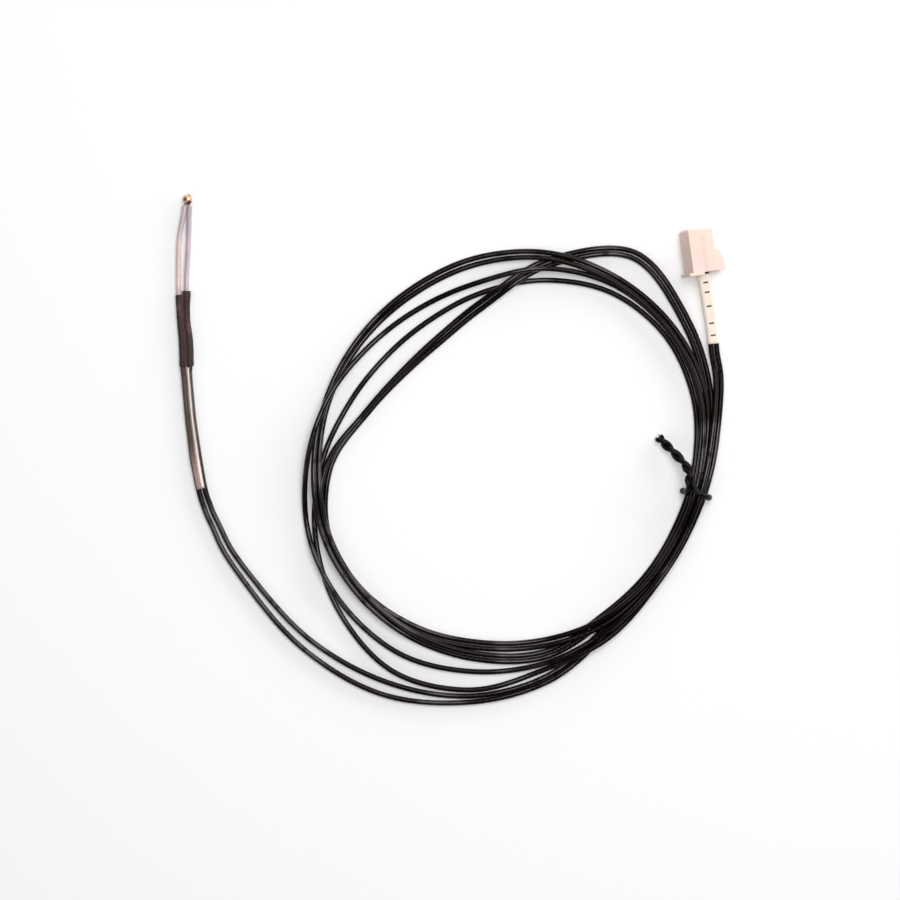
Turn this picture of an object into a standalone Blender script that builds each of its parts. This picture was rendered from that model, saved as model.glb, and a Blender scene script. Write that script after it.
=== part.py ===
"""Bead thermistor on a loosely coiled two-wire lead with a two-way crimp housing.

The head lies along +Y with the glass bead at its tip, and everything rests on z = 0.
The lead's two wires run as one pair: out of the head, three and a half turns round the
coil, past a twist tie and through a marker sleeve into the housing.
"""
import math

import bmesh
import bpy
import numpy as np
from mathutils import Matrix, Vector

# Lengths in this file are millimetres; MM turns them into metres when a shape is made.
MM = 0.001

# Lead wires
WIRE_DIA = 1.14
WIRE_R = WIRE_DIA / 2
WIRE_PITCH = 1.18          # least distance between two strands' middles
WIRE_SLOPE = 0.13          # steepest climb of a strand over another

# Sensing head
BEAD_WIDTH = 1.92
BEAD_LENGTH = 2.46
BEAD_MID = (-0.90, 29.62, 0.96)
CHIP_WIDTH = 0.50
CHIP_THICK = 0.40
LEAD_DIA = 0.26
FIT = 0.03                 # clearance between nested pieces of the head
SLEEVE_OD = 1.06
SLEEVE_ID = 0.52
SPLICE_DIA = 0.86
SPLICE_TAPER = 0.72         # width of a splice's ends, as a share of its middle
OUTER_WALL = 0.07
OUTER_ARCH = 0.10          # rise of the outer sleeve's top between the two wires

# Marker sleeve
MARKER_WALL = 0.09

# Housing, in its own axes: u across, v towards the mating end, n out of the top face
BODY_U = 5.5
BODY_V = 9.2
BODY_N = 4.6
HOUSING_FOOT = (105.97, 14.25)      # middle of the wire end, in plan
HOUSING_TURN = math.radians(7.8)
HOUSING_ROLL = math.radians(22.0)
CONTACT_PITCH = 2.5
CAVITY_U = 1.95
CAVITY_N = 2.3
POCKET_U = 4.5
POCKET_DEPTH = 1.9
WING_N = 2.6
WING_RIM = [(2.1, 0.03), (2.1, 0.5), (1.87, 2.6), (1.4, 3.95), (0.5, 4.55)]     # off the body, v
WING_TOP = 4.75
LIP_U = 1.0
LIP_V = (-0.55, 0.05)
LIP_N = 0.25
PANEL_U = 2.0
PANEL_N = 0.35
PANEL_TOP = 7.5
PANEL_INSET = 0.15
PANEL_RAMP = 1.1           # width of the panel's slanted side, down to its buried foot
PANEL_BURY = 0.1
BURY = 0.4                 # depth that an added block reaches into the body
STAGGER = 0.03             # keeps the blocks' faces from lying in one plane
WINDOW_U = 1.1
WINDOW_V = 2.4
WINDOW_AT = 4.6
END_CHAMFER = 0.45

# Terminals
TERMINAL_U = 1.66
TERMINAL_N = 1.80
TERMINAL_V = (1.95, 8.5)
CRIMP_END = 3.9
BOX_START = 4.7
BOX_HOLE = 1.1
BASE_THICK = 0.28

# Twist tie
TIE_DIA = 0.9
TIE_R = TIE_DIA / 2
TIE_LOW = TIE_R + 0.02
TIE_INNER = (102.33, -31.14)
TIE_OUTER = (107.51, -32.45)
TWIST_R = 0.50
TWIST_TURNS = 2.0

# Route of the pair. Each row is one station: wire a, then wire b.
# Head: (x, y, z) of both wires down to where the coil's angles take over.
HEAD_ROUTE = [
    ((-0.63, 0.73, 0.84), (-2.12, 0.73, 0.67)),
    ((-0.47, -2.19, 0.84), (-1.98, -2.19, 0.67)),
    ((-0.43, -5.10, 0.82), (-1.91, -5.10, 0.67)),
    ((-0.49, -6.71, 0.70), (-1.70, -6.83, 0.70)),
    ((-0.15, -10.88, 0.69), (-1.36, -11.00, 0.69)),
    ((0.32, -15.87, 0.69), (-0.89, -16.01, 0.69)),
    ((0.91, -20.01, 0.69), (-0.38, -20.20, 0.69)),
    ((1.60, -24.57, 0.69), (0.20, -24.81, 0.69)),
    ((2.69, -30.58, 0.69), (1.43, -30.88, 0.69)),
    ((3.80, -34.03, 0.62), (2.49, -34.51, 0.62)),
    ((5.33, -37.50, WIRE_R), (4.01, -38.12, WIRE_R)),
]
# Coil: radii of wires a and b about the coil's middle, every 20 degrees from 200 on.
COIL_MID = (66.69, -25.73)
COIL_FROM = 200
COIL_STEP = 20
ARRIVING = [
    (60.04, 61.79), (55.81, 58.15), (52.25, 55.00), (48.88, 50.17),
    (44.42, 45.60), (38.96, 40.12), (37.27, 38.46), (37.62, 38.81),
]
FIRST_TURN = [
    (39.29, 40.48), (42.88, 44.08), (46.45, 47.70), (49.90, 51.20), (42.05, 43.43), (33.50, 34.85),
    (29.65, 30.84), (29.38, 30.15), (31.92, 32.42), (37.62, 38.62), (40.75, 41.90), (40.60, 41.79),
    (39.13, 40.29), (37.54, 38.74), (37.03, 38.23), (37.15, 38.35), (37.27, 37.88), (37.62, 38.21),
]
SECOND_TURN = [
    (39.23, 39.88), (41.71, 42.90), (43.06, 44.25), (43.58, 44.77), (43.61, 44.82), (42.45, 43.80),
    (41.08, 42.29), (40.50, 41.45), (40.38, 41.10), (40.21, 41.30), (40.77, 41.96), (40.75, 41.94),
    (40.46, 41.65), (39.94, 41.14), (39.43, 40.63), (36.63, 37.81), (36.08, 36.69), (36.40, 37.00),
]
THIRD_TURN = [
    (38.00, 38.60), (40.29, 41.48), (41.79, 42.96), (41.46, 43.12), (39.10, 41.50), (36.45, 38.68),
    (34.70, 37.93), (34.66, 38.66), (36.35, 40.70), (39.75, 42.75), (43.60, 44.85), (47.17, 45.71),
    (49.65, 45.73), (47.58, 43.73), (42.96, 41.77), (41.12, 39.67), (39.04, 38.46), (39.42, 38.83),
]
LEAVING = [(41.78, 40.64), (46.38, 45.18)]
# From the coil to the housing: (x, y, z) of both wires. The terminals give the rest.
HOUSING_ROUTE = [
    ((109.40, -2.19, 1.15), (108.23, -2.31, 1.15)),
    ((108.88, 2.27, 1.55), (107.71, 2.10, 1.55)),
    ((107.92, 8.75, 2.40), (106.67, 8.54, 2.52)),
    ((107.22, 13.33, 2.86), (105.85, 13.12, 3.22)),
]
CRIMPED_AT = (1.9, 3.6)    # v of the wires' last two stations
COIL_ROWS = ARRIVING + FIRST_TURN + SECOND_TURN + THIRD_TURN + LEAVING
COIL_AT = len(HEAD_ROUTE)
LEAVE_AT = COIL_AT + len(COIL_ROWS)
DRAWN_STEP = 0.75          # stations between the drawn points of the coil: 15 degrees
# First and last station of each sleeve that holds the pair
OUTER_SPAN = (2.15, 7.98)
MARKER_SPAN = (LEAVE_AT + 0.38, LEAVE_AT + 3.2)

# Middles of the two leads from the chip to the splices: (x, y, z), tip first
LEAD_A_ROUTE = [
    (-0.45, 29.52, 0.96), (-0.44, 28.33, 0.95), (-0.53, 27.20, 0.92), (-0.60, 26.15, 0.87),
    (-0.63, 24.27, 0.80), (-0.69, 21.15, 0.72), (-0.79, 19.06, 0.68), (-1.02, 14.90, 0.72),
    (-1.13, 11.10, 0.88), (-1.16, 8.96, 0.88), (-1.18, 7.40, 0.82), (-1.01, 3.90, 0.76),
]
LEAD_B_ROUTE = [
    (-1.35, 29.52, 0.96), (-1.52, 28.33, 0.95), (-1.63, 27.20, 0.92), (-1.79, 26.15, 0.87),
    (-2.16, 24.27, 0.80), (-2.44, 22.80, 0.74), (-2.67, 20.94, 0.68), (-2.79, 18.00, 0.66),
    (-2.82, 12.81, 0.66), (-2.79, 10.70, 0.67), (-2.70, 8.96, 0.67), (-2.64, 7.40, 0.67),
    (-2.40, 3.90, 0.67),
]
HOLE_SPAN = (-0.05, 1.55)  # lead hole in the bead, as shares of a lead's first stretch
SLEEVE_TOP = 28.30
SLEEVE_FOOT = 7.70
SPLICE_TOP = 6.90
LEAD_FOOT = 5.60
SPLICE_FOOT = 1.55
SPLICE_SHIFT = 0.15        # how far a splice's foot drifts sideways
BORE_PAST = 0.5            # depth of a splice's hole beyond the lead's end
# Outer radius of each shrink tube: (y, radius), top first
SHRINK_A = [
    (10.52, 0.87), (8.96, 0.867), (7.71, 0.793), (6.46, 0.726), (5.21, 0.706), (3.96, 0.706),
    (2.71, 0.757), (1.46, 0.79), (0.21, 0.824), (-2.29, 0.824), (-5.10, 0.80),
]
SHRINK_B = [(9.69, 0.66), (-5.10, 0.66)]

# Twist tie's loop from the knot over the bundle, under it and back: distance along the
# tie's line from TIE_INNER, distance to the tail's side of it, height
TIE_LOOP = [
    (1.60, 1.70, 5.05), (2.65, 0.60, 5.20), (3.45, 0.20, 5.15), (4.25, 0.05, 4.80),
    (4.90, 0.00, 4.00), (5.30, 0.00, 3.20), (5.45, 0.00, 2.40), (5.40, 0.00, 1.40),
    (4.95, 0.00, 0.70), (4.00, 0.00, TIE_LOW), (2.20, 0.00, TIE_LOW), (0.95, 0.00, TIE_LOW),
    (0.28, 0.00, 0.74), (-0.03, 0.00, 1.45), (0.02, 0.00, 2.20), (0.45, 0.05, 3.10),
    (0.75, 0.35, 4.20), (0.85, 1.00, 4.95),
]
# Twist tie's tail: (x, y, z)
TIE_TAIL = [
    (103.45, -28.90, 5.00), (103.35, -27.20, 4.50), (102.50, -25.60, 3.70), (101.05, -23.90, 2.70),
    (99.60, -22.40, 1.95), (98.30, -21.10, 1.40), (97.30, -20.05, 1.05),
]
TAIL_STEPS = 16

# Settling of the strands
SAME_STRAND = 8            # stretch of a wire that isn't weighed against itself
CLOSE_ENOUGH = 0.004
EASE = 0.7                 # share of a missing height that one round adds

# Mesh fineness
BEAD_RINGS = 20
BEAD_SIDES = 32
TUBE_SIDES = 20
OVAL_SIDES = 24
ARCH_SHARES = (0.5, 0.0, -0.5)


def clear_scene():
    for obj in list(bpy.data.objects):
        bpy.data.objects.remove(obj, do_unlink=True)


def material(name, colour, roughness, metallic=0.0):
    mat = bpy.data.materials.new(name)
    mat.use_nodes = True
    shader = mat.node_tree.nodes["Principled BSDF"]
    shader.inputs["Base Color"].default_value = (*colour, 1.0)
    shader.inputs["Roughness"].default_value = roughness
    shader.inputs["Metallic"].default_value = metallic
    return mat


def link(name, data, mat):
    obj = bpy.data.objects.new(name, data)
    data.materials.append(mat)
    bpy.context.scene.collection.objects.link(obj)
    return obj


def mesh_object(name, bm, mat, smooth=False):
    bmesh.ops.recalc_face_normals(bm, faces=bm.faces)
    for face in bm.faces:
        face.smooth = smooth and len(face.verts) == 4
    mesh = bpy.data.meshes.new(name)
    bm.to_mesh(mesh)
    bm.free()
    return link(name, mesh, mat)


def spline(points, at):
    """Smooth curve through the points, read at the stations in the array at."""
    p = np.vstack([2 * points[0] - points[1], points, 2 * points[-1] - points[-2]])
    i = np.clip(np.floor(at).astype(int), 0, len(points) - 2)
    u = (at - i)[:, None]
    p0, p1, p2, p3 = p[i], p[i + 1], p[i + 2], p[i + 3]
    bend = 2 * p0 - 5 * p1 + 4 * p2 - p3
    return 0.5 * (2 * p1 + (p2 - p0) * u + bend * u ** 2 + (3 * p1 - p0 - 3 * p2 + p3) * u ** 3)


def plan(wire):
    """Plan position of every station of one wire."""
    rows = [row[wire][:2] for row in HEAD_ROUTE]
    for k, radii in enumerate(COIL_ROWS):
        angle = math.radians(COIL_FROM + COIL_STEP * k)
        out = radii[wire]
        rows.append((COIL_MID[0] + out * math.cos(angle), COIL_MID[1] + out * math.sin(angle)))
    rows += [row[wire][:2] for row in HOUSING_ROUTE + crimped_stations()]
    return np.array(rows, float)


def drawn_stations():
    coil = np.arange(COIL_AT, LEAVE_AT - 1 + 0.001, DRAWN_STEP)
    last = LEAVE_AT + np.arange(len(HOUSING_ROUTE) + len(CRIMPED_AT))
    return np.concatenate([np.arange(COIL_AT), coil, last]).astype(float)


def strand_order(wire, at):
    """Which strand lies over which: the higher number is the upper one.

    On the tied side the order is that of the tight bundle, and on the open side
    the later turns lie over the earlier ones.
    """
    turned = COIL_FROM + (at - COIL_AT) * COIL_STEP
    turn = np.floor(turned / 360.0)
    angle = turned - 360.0 * turn
    tied = (angle >= 275) | (angle < 85)
    lap = np.clip(np.where(angle < 85, turn - 1, turn), 0, 3).astype(int)
    turn = np.clip(turn, 0, 3).astype(int)
    in_bundle = np.array([[0, 5, 1, 4], [0.5, 3, 2, 6]])
    in_open = np.array([[0.2, 1, 2, 0.1], [0.3, 1.5, 2.5, 3]])
    return np.where(tied, in_bundle[wire][lap], in_open[wire][turn])


def strand_heights(at, samples=24, rounds=60):
    """Rest every strand on the table or on the strands and the tie below it."""
    count = len(at)
    drawn = [spline(plan(wire), at) for wire in (0, 1)]
    run = [np.concatenate([[0], np.cumsum(np.hypot(*np.diff(xy, axis=0).T))]) for xy in drawn]
    part = np.tile((np.arange(samples) + 0.5) / samples, count - 1)
    chord = np.repeat(np.arange(count - 1), samples)
    place, along, order, owner, first, station = [], [], [], [], [], []
    for wire in (0, 1):
        place.append(drawn[wire][chord] * (1 - part)[:, None] + drawn[wire][chord + 1] * part[:, None])
        along.append(run[wire][chord] * (1 - part) + run[wire][chord + 1] * part)
        here = at[chord] * (1 - part) + at[chord + 1] * part
        station.append(here)
        order.append(strand_order(wire, here))
        owner.append(np.full(len(chord), wire))
        first.append(chord + wire * count)
    place = np.vstack(place)
    along, order, owner, first, station = map(np.concatenate, (along, order, owner, first, station))
    part = np.tile(part, 2)
    held = (station < COIL_AT) | (station > LEAVE_AT)

    height = np.full(2 * count, WIRE_R)
    last = HOUSING_ROUTE + crimped_stations()
    for wire in (0, 1):
        end = (wire + 1) * count
        height[wire * count:wire * count + COIL_AT] = [row[wire][2] for row in HEAD_ROUTE]
        height[end - len(last):end] = [row[wire][2] for row in last]

    upper, lower, rise = [], [], []
    for row in range(0, len(place), 300):
        block = slice(row, row + 300)
        gap = place[block, None] - place[None, :]
        apart = np.hypot(gap[:, :, 0], gap[:, :, 1])
        near = np.abs(along[block, None] - along[None, :]) < SAME_STRAND
        same = (owner[block, None] == owner[None, :]) & near
        both_held = held[block, None] & held[None, :]
        crossing = (apart < WIRE_PITCH) & ~same & ~both_held & (order[block, None] > order[None, :])
        i, j = np.nonzero(crossing)
        upper.append(i + row)
        lower.append(j)
        rise.append(np.sqrt(WIRE_PITCH ** 2 - apart[i, j] ** 2))
    upper, lower, rise = map(np.concatenate, (upper, lower, rise))

    tie_start = np.array(TIE_INNER)
    tie_run = np.array(TIE_OUTER) - tie_start
    share = np.clip(((place - tie_start) @ tie_run) / (tie_run @ tie_run), 0, 1)
    off = np.hypot(*(place - tie_start - share[:, None] * tie_run).T)
    reach = WIRE_R + TIE_R + 2 * FIT
    floor = np.where(off < reach, TIE_R + np.sqrt(np.clip(reach ** 2 - off ** 2, 0, None)), WIRE_R)

    for _ in range(rounds):
        now = height[first] * (1 - part) + height[first + 1] * part
        short = np.zeros(len(place))
        np.maximum.at(short, upper, now[lower] + rise - now[upper])
        short = np.maximum(short, floor - now)
        if short.max() < CLOSE_ENOUGH:
            break
        weight = (1 - part) ** 2 + part ** 2
        lift = np.zeros(len(height))
        np.maximum.at(lift, first, short * (1 - part) / weight)
        np.maximum.at(lift, first + 1, short * part / weight)
        height = height + EASE * lift
        for wire in (0, 1):
            own = slice(wire * count, (wire + 1) * count)
            fall = WIRE_SLOPE * run[wire]
            ahead = np.maximum.accumulate(height[own] + fall) - fall
            back = np.maximum.accumulate((height[own] - fall)[::-1])[::-1] + fall
            height[own] = np.maximum(ahead, back)
    return [np.column_stack([drawn[wire], height[wire * count:(wire + 1) * count]]) for wire in (0, 1)]


def tube(name, points, radius, mat):
    """Solid round wire through the points."""
    curve = bpy.data.curves.new(name, "CURVE")
    curve.dimensions = "3D"
    line = curve.splines.new("POLY")
    line.points.add(len(points) - 1)
    for point, place in zip(line.points, points):
        point.co = (place[0] * MM, place[1] * MM, place[2] * MM, 1.0)
    line.use_smooth = True
    curve.bevel_depth = radius * MM
    curve.bevel_resolution = 2
    curve.use_fill_caps = True
    return link(name, curve, mat)


def side_vectors(points):
    """Level side vector of each point of a route, and the one square to it."""
    points = np.asarray(points, float)
    heading = np.gradient(points, axis=0)
    heading /= np.linalg.norm(heading, axis=1)[:, None]
    side = np.cross(heading, (0.0, 0.0, 1.0))
    side /= np.linalg.norm(side, axis=1)[:, None]
    return side, np.cross(side, heading)


def lofted_ring(name, mids, sides, ups, outline_out, outline_in, mat, smooth=True):
    """Open-ended sleeve between an outer and an inner outline at every station.

    The outlines are functions of the station number that give (side, up) offsets.
    """
    bm = bmesh.new()
    outer, inner = [], []
    for k in range(len(mids)):
        for outline, rings in ((outline_out, outer), (outline_in, inner)):
            ring = []
            for s, u in outline(k):
                place = mids[k] + s * sides[k] + u * ups[k]
                ring.append(bm.verts.new(place * MM))
            rings.append(ring)
    count = len(outer[0])
    for k in range(len(mids) - 1):
        for j in range(count):
            n = (j + 1) % count
            bm.faces.new((outer[k][j], outer[k][n], outer[k + 1][n], outer[k + 1][j]))
            bm.faces.new((inner[k][j], inner[k + 1][j], inner[k + 1][n], inner[k][n]))
    for k in (0, -1):
        for j in range(count):
            n = (j + 1) % count
            bm.faces.new((outer[k][j], inner[k][j], inner[k][n], outer[k][n]))
    return mesh_object(name, bm, mat, smooth)


def circle(radius):
    steps = [2 * math.pi * j / TUBE_SIDES for j in range(TUBE_SIDES)]
    return [(radius * math.cos(a), radius * math.sin(a)) for a in steps]


def oval(half_apart, radius, arch):
    """Two half circles round a pair of wires, straight below and arched on top between them."""
    steps = [2 * math.pi * (j + 0.5) / OVAL_SIDES for j in range(OVAL_SIDES)]
    out = []
    for a in steps:
        shift = half_apart if math.cos(a) > 0 else -half_apart
        out.append((shift + radius * math.cos(a), radius * math.sin(a)))
    top = OVAL_SIDES // 4
    crown = [(half_apart * share, radius + arch * (1 - share ** 2)) for share in ARCH_SHARES]
    return out[:top] + crown + out[top:]


def round_sleeve(name, route, outer_of, inner_of, mat):
    """Round sleeve along a route; the radii are functions of y."""
    mids = np.asarray(route, float)
    sides, ups = side_vectors(mids)
    return lofted_ring(
        name, mids, sides, ups,
        lambda k: circle(outer_of(mids[k][1])), lambda k: circle(inner_of(mids[k][1])), mat)


def between(route, top, foot, points):
    """Evenly read stretch of a head route between two values of y."""
    route = np.asarray(route, float)
    fine = spline(route, np.linspace(0, len(route) - 1, 400))
    ys = np.linspace(top, foot, points)
    return np.column_stack([np.interp(-ys, -fine[:, 1], fine[:, axis]) for axis in range(3)])


def pair_sleeve(name, wires, at, span, wall, arch, mat):
    """Thin sleeve round both wires between two stations of their route."""
    inside = [s for s in at if span[0] + 0.05 < s < span[1] - 0.05]
    stations = [span[0]] + inside + [span[1]]
    a, b = (
        np.column_stack([np.interp(stations, at, wire[:, axis]) for axis in range(3)])
        for wire in wires)
    mids = (a + b) / 2
    apart = np.linalg.norm(a - b, axis=1)
    sides = (a - b) / apart[:, None]
    heading = np.gradient(mids, axis=0)
    heading /= np.linalg.norm(heading, axis=1)[:, None]
    ups = np.cross(sides, heading)
    ups /= np.linalg.norm(ups, axis=1)[:, None]
    ups[ups[:, 2] < 0] *= -1
    inside = WIRE_R + FIT
    return lofted_ring(
        name, mids, sides, ups,
        lambda k: oval(apart[k] / 2, inside + wall, arch),
        lambda k: oval(apart[k] / 2, inside, arch), mat)


def box_mesh(bm, low, high):
    """Box between two corners, in millimetres."""
    made = bmesh.ops.create_cube(bm, size=1.0)["verts"]
    for vert in made:
        for axis in range(3):
            middle = (low[axis] + high[axis]) / 2
            vert.co[axis] = (middle + vert.co[axis] * (high[axis] - low[axis])) * MM
    return made


def prism_mesh(bm, outline, low, high):
    """Plate of an outline in u and v, between two values of n."""
    bottom = [bm.verts.new((u * MM, v * MM, low * MM)) for u, v in outline]
    top = [bm.verts.new((u * MM, v * MM, high * MM)) for u, v in outline]
    bm.faces.new(bottom)
    bm.faces.new(top)
    for j in range(len(outline)):
        n = (j + 1) % len(outline)
        bm.faces.new((bottom[j], bottom[n], top[n], top[j]))


def cutter(target, name, bm, mat, operation="DIFFERENCE"):
    """Add or take away one simple solid from the target."""
    tool = mesh_object(name, bm, mat)
    tool.hide_render = True
    tool.display_type = "WIRE"
    boolean = target.modifiers.new(name, "BOOLEAN")
    boolean.operation = operation
    boolean.solver = "EXACT"
    boolean.object = tool
    return tool


def bead(mat):
    """Glass bead with a pocket for the chip, open along the two leads."""
    bm = bmesh.new()
    rings = []
    for k in range(1, BEAD_RINGS):
        a = math.pi * k / BEAD_RINGS
        radius = BEAD_WIDTH / 2 * math.sin(a)
        y = BEAD_LENGTH / 2 * math.cos(a)
        ring = []
        for j in range(BEAD_SIDES):
            b = 2 * math.pi * j / BEAD_SIDES
            ring.append(bm.verts.new((radius * math.cos(b) * MM, y * MM, radius * math.sin(b) * MM)))
        rings.append(ring)
    for k in range(len(rings) - 1):
        for j in range(BEAD_SIDES):
            n = (j + 1) % BEAD_SIDES
            bm.faces.new((rings[k][j], rings[k][n], rings[k + 1][n], rings[k + 1][j]))
    for ring, y in ((rings[0], BEAD_LENGTH / 2), (rings[-1], -BEAD_LENGTH / 2)):
        pole = bm.verts.new((0, y * MM, 0))
        for j in range(BEAD_SIDES):
            bm.faces.new((ring[j], ring[(j + 1) % BEAD_SIDES], pole))
    bmesh.ops.translate(bm, verts=bm.verts, vec=Vector(BEAD_MID) * MM)
    obj = mesh_object("glass_bead", bm, mat, True)

    half = LEAD_A_ROUTE[0][0] - BEAD_MID[0] + LEAD_DIA / 2 + FIT
    bm = bmesh.new()
    foot = LEAD_A_ROUTE[0][1] - CHIP_WIDTH / 2 - FIT
    deep = CHIP_THICK / 2 + FIT
    box_mesh(
        bm, (BEAD_MID[0] - half, foot, BEAD_MID[2] - deep),
        (BEAD_MID[0] + half, BEAD_MID[1] + CHIP_WIDTH / 2, BEAD_MID[2] + deep))
    cutter(obj, "chip_pocket", bm, mat)
    for name, route in (("lead_hole_a", LEAD_A_ROUTE), ("lead_hole_b", LEAD_B_ROUTE)):
        start, stop = Vector(route[0]), Vector(route[1])
        way = stop - start
        bm = bmesh.new()
        bmesh.ops.create_cone(
            bm, cap_ends=True, segments=TUBE_SIDES, radius1=(LEAD_DIA / 2 + FIT) * MM,
            radius2=(LEAD_DIA / 2 + FIT) * MM, depth=way.length * (HOLE_SPAN[1] - HOLE_SPAN[0]) * MM)
        turn = Vector((0, 0, 1)).rotation_difference(way).to_matrix().to_4x4()
        middle = start + way * (HOLE_SPAN[0] + HOLE_SPAN[1]) / 2
        bmesh.ops.transform(bm, matrix=Matrix.Translation(middle * MM) @ turn, verts=bm.verts)
        cutter(obj, name, bm, mat)
    return obj


def splice(name, route, mat):
    """Solder joint: a bar with a blind hole that the lead's end sits in."""
    below = (route[-1][0] + SPLICE_SHIFT, SPLICE_FOOT - BORE_PAST, route[-1][2])
    mids = between(route + [below], SPLICE_TOP, SPLICE_FOOT, 9)
    sides, ups = side_vectors(mids)
    hole = LEAD_DIA / 2 + FIT
    bm = bmesh.new()
    rings = []
    for k, mid in enumerate(mids):
        width = SPLICE_TAPER if k in (0, len(mids) - 1) else 1.0
        ring = []
        for s, u in circle(SPLICE_DIA / 2 * width):
            ring.append(bm.verts.new((mid + s * sides[k] + u * ups[k]) * MM))
        rings.append(ring)
    bore = []
    for k, mid in enumerate(mids):
        if mid[1] < LEAD_FOOT - BORE_PAST:
            break
        bore.append([bm.verts.new((mid + s * sides[k] + u * ups[k]) * MM) for s, u in circle(hole)])
    for k in range(len(rings) - 1):
        for j in range(TUBE_SIDES):
            n = (j + 1) % TUBE_SIDES
            bm.faces.new((rings[k][j], rings[k][n], rings[k + 1][n], rings[k + 1][j]))
    for k in range(len(bore) - 1):
        for j in range(TUBE_SIDES):
            n = (j + 1) % TUBE_SIDES
            bm.faces.new((bore[k][j], bore[k + 1][j], bore[k + 1][n], bore[k][n]))
    for j in range(TUBE_SIDES):
        n = (j + 1) % TUBE_SIDES
        bm.faces.new((rings[0][j], bore[0][j], bore[0][n], rings[0][n]))
    bm.faces.new(rings[-1])
    bm.faces.new(bore[-1])
    return mesh_object(name, bm, mat, True)


def housing_matrix():
    """Housing axes into the common frame, resting on its lower right edge."""
    roll, turn = HOUSING_ROLL, HOUSING_TURN
    across = Vector((math.cos(roll) * math.cos(turn), math.cos(roll) * math.sin(turn), -math.sin(roll)))
    ahead = Vector((-math.sin(turn), math.cos(turn), 0))
    out = across.cross(ahead)
    lift = BODY_U / 2 * math.sin(roll) + BODY_N / 2 * math.cos(roll)
    matrix = Matrix((across, ahead, out)).transposed().to_4x4()
    return Matrix.Translation(Vector((*HOUSING_FOOT, lift)) * MM) @ matrix


def crimped_stations():
    """Both wires' places inside the terminals, wire a first."""
    matrix = housing_matrix()
    places = []
    for v in CRIMPED_AT:
        row = [matrix @ (Vector((side * CONTACT_PITCH / 2, v, 0)) * MM) / MM for side in (1, -1)]
        places.append(tuple(tuple(place) for place in row))
    return places


def settle(obj, tools):
    """Cut the finished shape in its own axes, then lay it down in the common frame."""
    depsgraph = bpy.context.evaluated_depsgraph_get()
    mesh = bpy.data.meshes.new_from_object(obj.evaluated_get(depsgraph))
    mesh.transform(housing_matrix())
    mesh.name = obj.name
    obj.modifiers.clear()
    obj.data = mesh
    for tool in tools:
        bpy.data.objects.remove(tool, do_unlink=True)
    return obj


def housing(mat):
    """Two-way crimp housing with through cavities, rib, wing and wire-end lip."""
    u, n = BODY_U / 2, BODY_N / 2
    bm = bmesh.new()
    box_mesh(bm, (-u, 0, -n), (u, BODY_V, n))
    end = [e for e in bm.edges if all(v.co.y > BODY_V * MM * 0.99 for v in e.verts)]
    bmesh.ops.bevel(bm, geom=end, offset=END_CHAMFER * MM, segments=1, affect="EDGES")
    obj = mesh_object("connector_housing", bm, mat)

    bm = bmesh.new()
    rim = [(u + off, v) for off, v in WING_RIM]
    prism_mesh(bm, [(u - BURY, STAGGER)] + rim + [(u - BURY, WING_TOP)], -WING_N / 2, n - BURY)
    tools = [cutter(obj, "wing", bm, mat, "UNION")]

    foot = u - PANEL_U - PANEL_RAMP
    bm = bmesh.new()
    made = box_mesh(
        bm, (foot, 2 * STAGGER, n - PANEL_BURY), (u - PANEL_INSET, PANEL_TOP, n + PANEL_N))
    for vert in made:
        if vert.co.x < (foot + STAGGER) * MM and vert.co.z > n * MM:
            vert.co.x += PANEL_RAMP * MM
    tools.append(cutter(obj, "panel", bm, mat, "UNION"))

    start, stop = LIP_V
    top = n + LIP_N
    added = (
        ("side_lip", (-u - LIP_U, start, -n + BURY), (-u + BURY, stop, top)),
        ("top_lip", (-u + STAGGER, start - STAGGER, n - BURY),
         (foot - STAGGER, stop + STAGGER, top + STAGGER)),
    )
    for label, low, high in added:
        bm = bmesh.new()
        box_mesh(bm, low, high)
        tools.append(cutter(obj, label, bm, mat, "UNION"))

    for side in (-1, 1):
        mid = side * CONTACT_PITCH / 2
        low = (mid - CAVITY_U / 2, POCKET_DEPTH - BURY, -CAVITY_N / 2)
        high = (mid + CAVITY_U / 2, BODY_V + 1, CAVITY_N / 2)
        bm = bmesh.new()
        box_mesh(bm, low, high)
        tools.append(cutter(obj, "cavity", bm, mat))
        bm = bmesh.new()
        low = (mid - WINDOW_U / 2, WINDOW_AT, -n - 1)
        box_mesh(bm, low, (mid + WINDOW_U / 2, WINDOW_AT + WINDOW_V, 0))
        tools.append(cutter(obj, "lance_window", bm, mat))

    bm = bmesh.new()
    deep = CAVITY_N / 2 + STAGGER
    box_mesh(bm, (-POCKET_U / 2, -1, -deep), (POCKET_U / 2, POCKET_DEPTH, deep))
    tools.append(cutter(obj, "wire_pocket", bm, mat))
    return settle(obj, tools)


def terminal(name, side, mat):
    """Crimp terminal: an open crimp round the wire and a square box contact."""
    mid = side * CONTACT_PITCH / 2
    start, stop = TERMINAL_V
    u, n = TERMINAL_U / 2, TERMINAL_N / 2
    base = -n + BASE_THICK
    half = WIRE_R + FIT
    hole = BOX_HOLE / 2
    bm = bmesh.new()
    box_mesh(bm, (mid - u, start, -n), (mid + u, stop, n))
    obj = mesh_object(name, bm, mat)
    cuts = (
        ("crimp_channel", (mid - half, start - 1, base), (mid + half, CRIMP_END + BURY, n + 1)),
        ("neck_gap", (mid - u - 1, CRIMP_END, base + STAGGER), (mid + u + 1, BOX_START, n + 2)),
        ("box_hole", (mid - hole, BOX_START - BURY, -hole), (mid + hole, stop + 1, hole)),
    )
    tools = []
    for label, low, high in cuts:
        bm = bmesh.new()
        box_mesh(bm, low, high)
        tools.append(cutter(obj, name + "_" + label, bm, mat))
    return settle(obj, tools)


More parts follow.
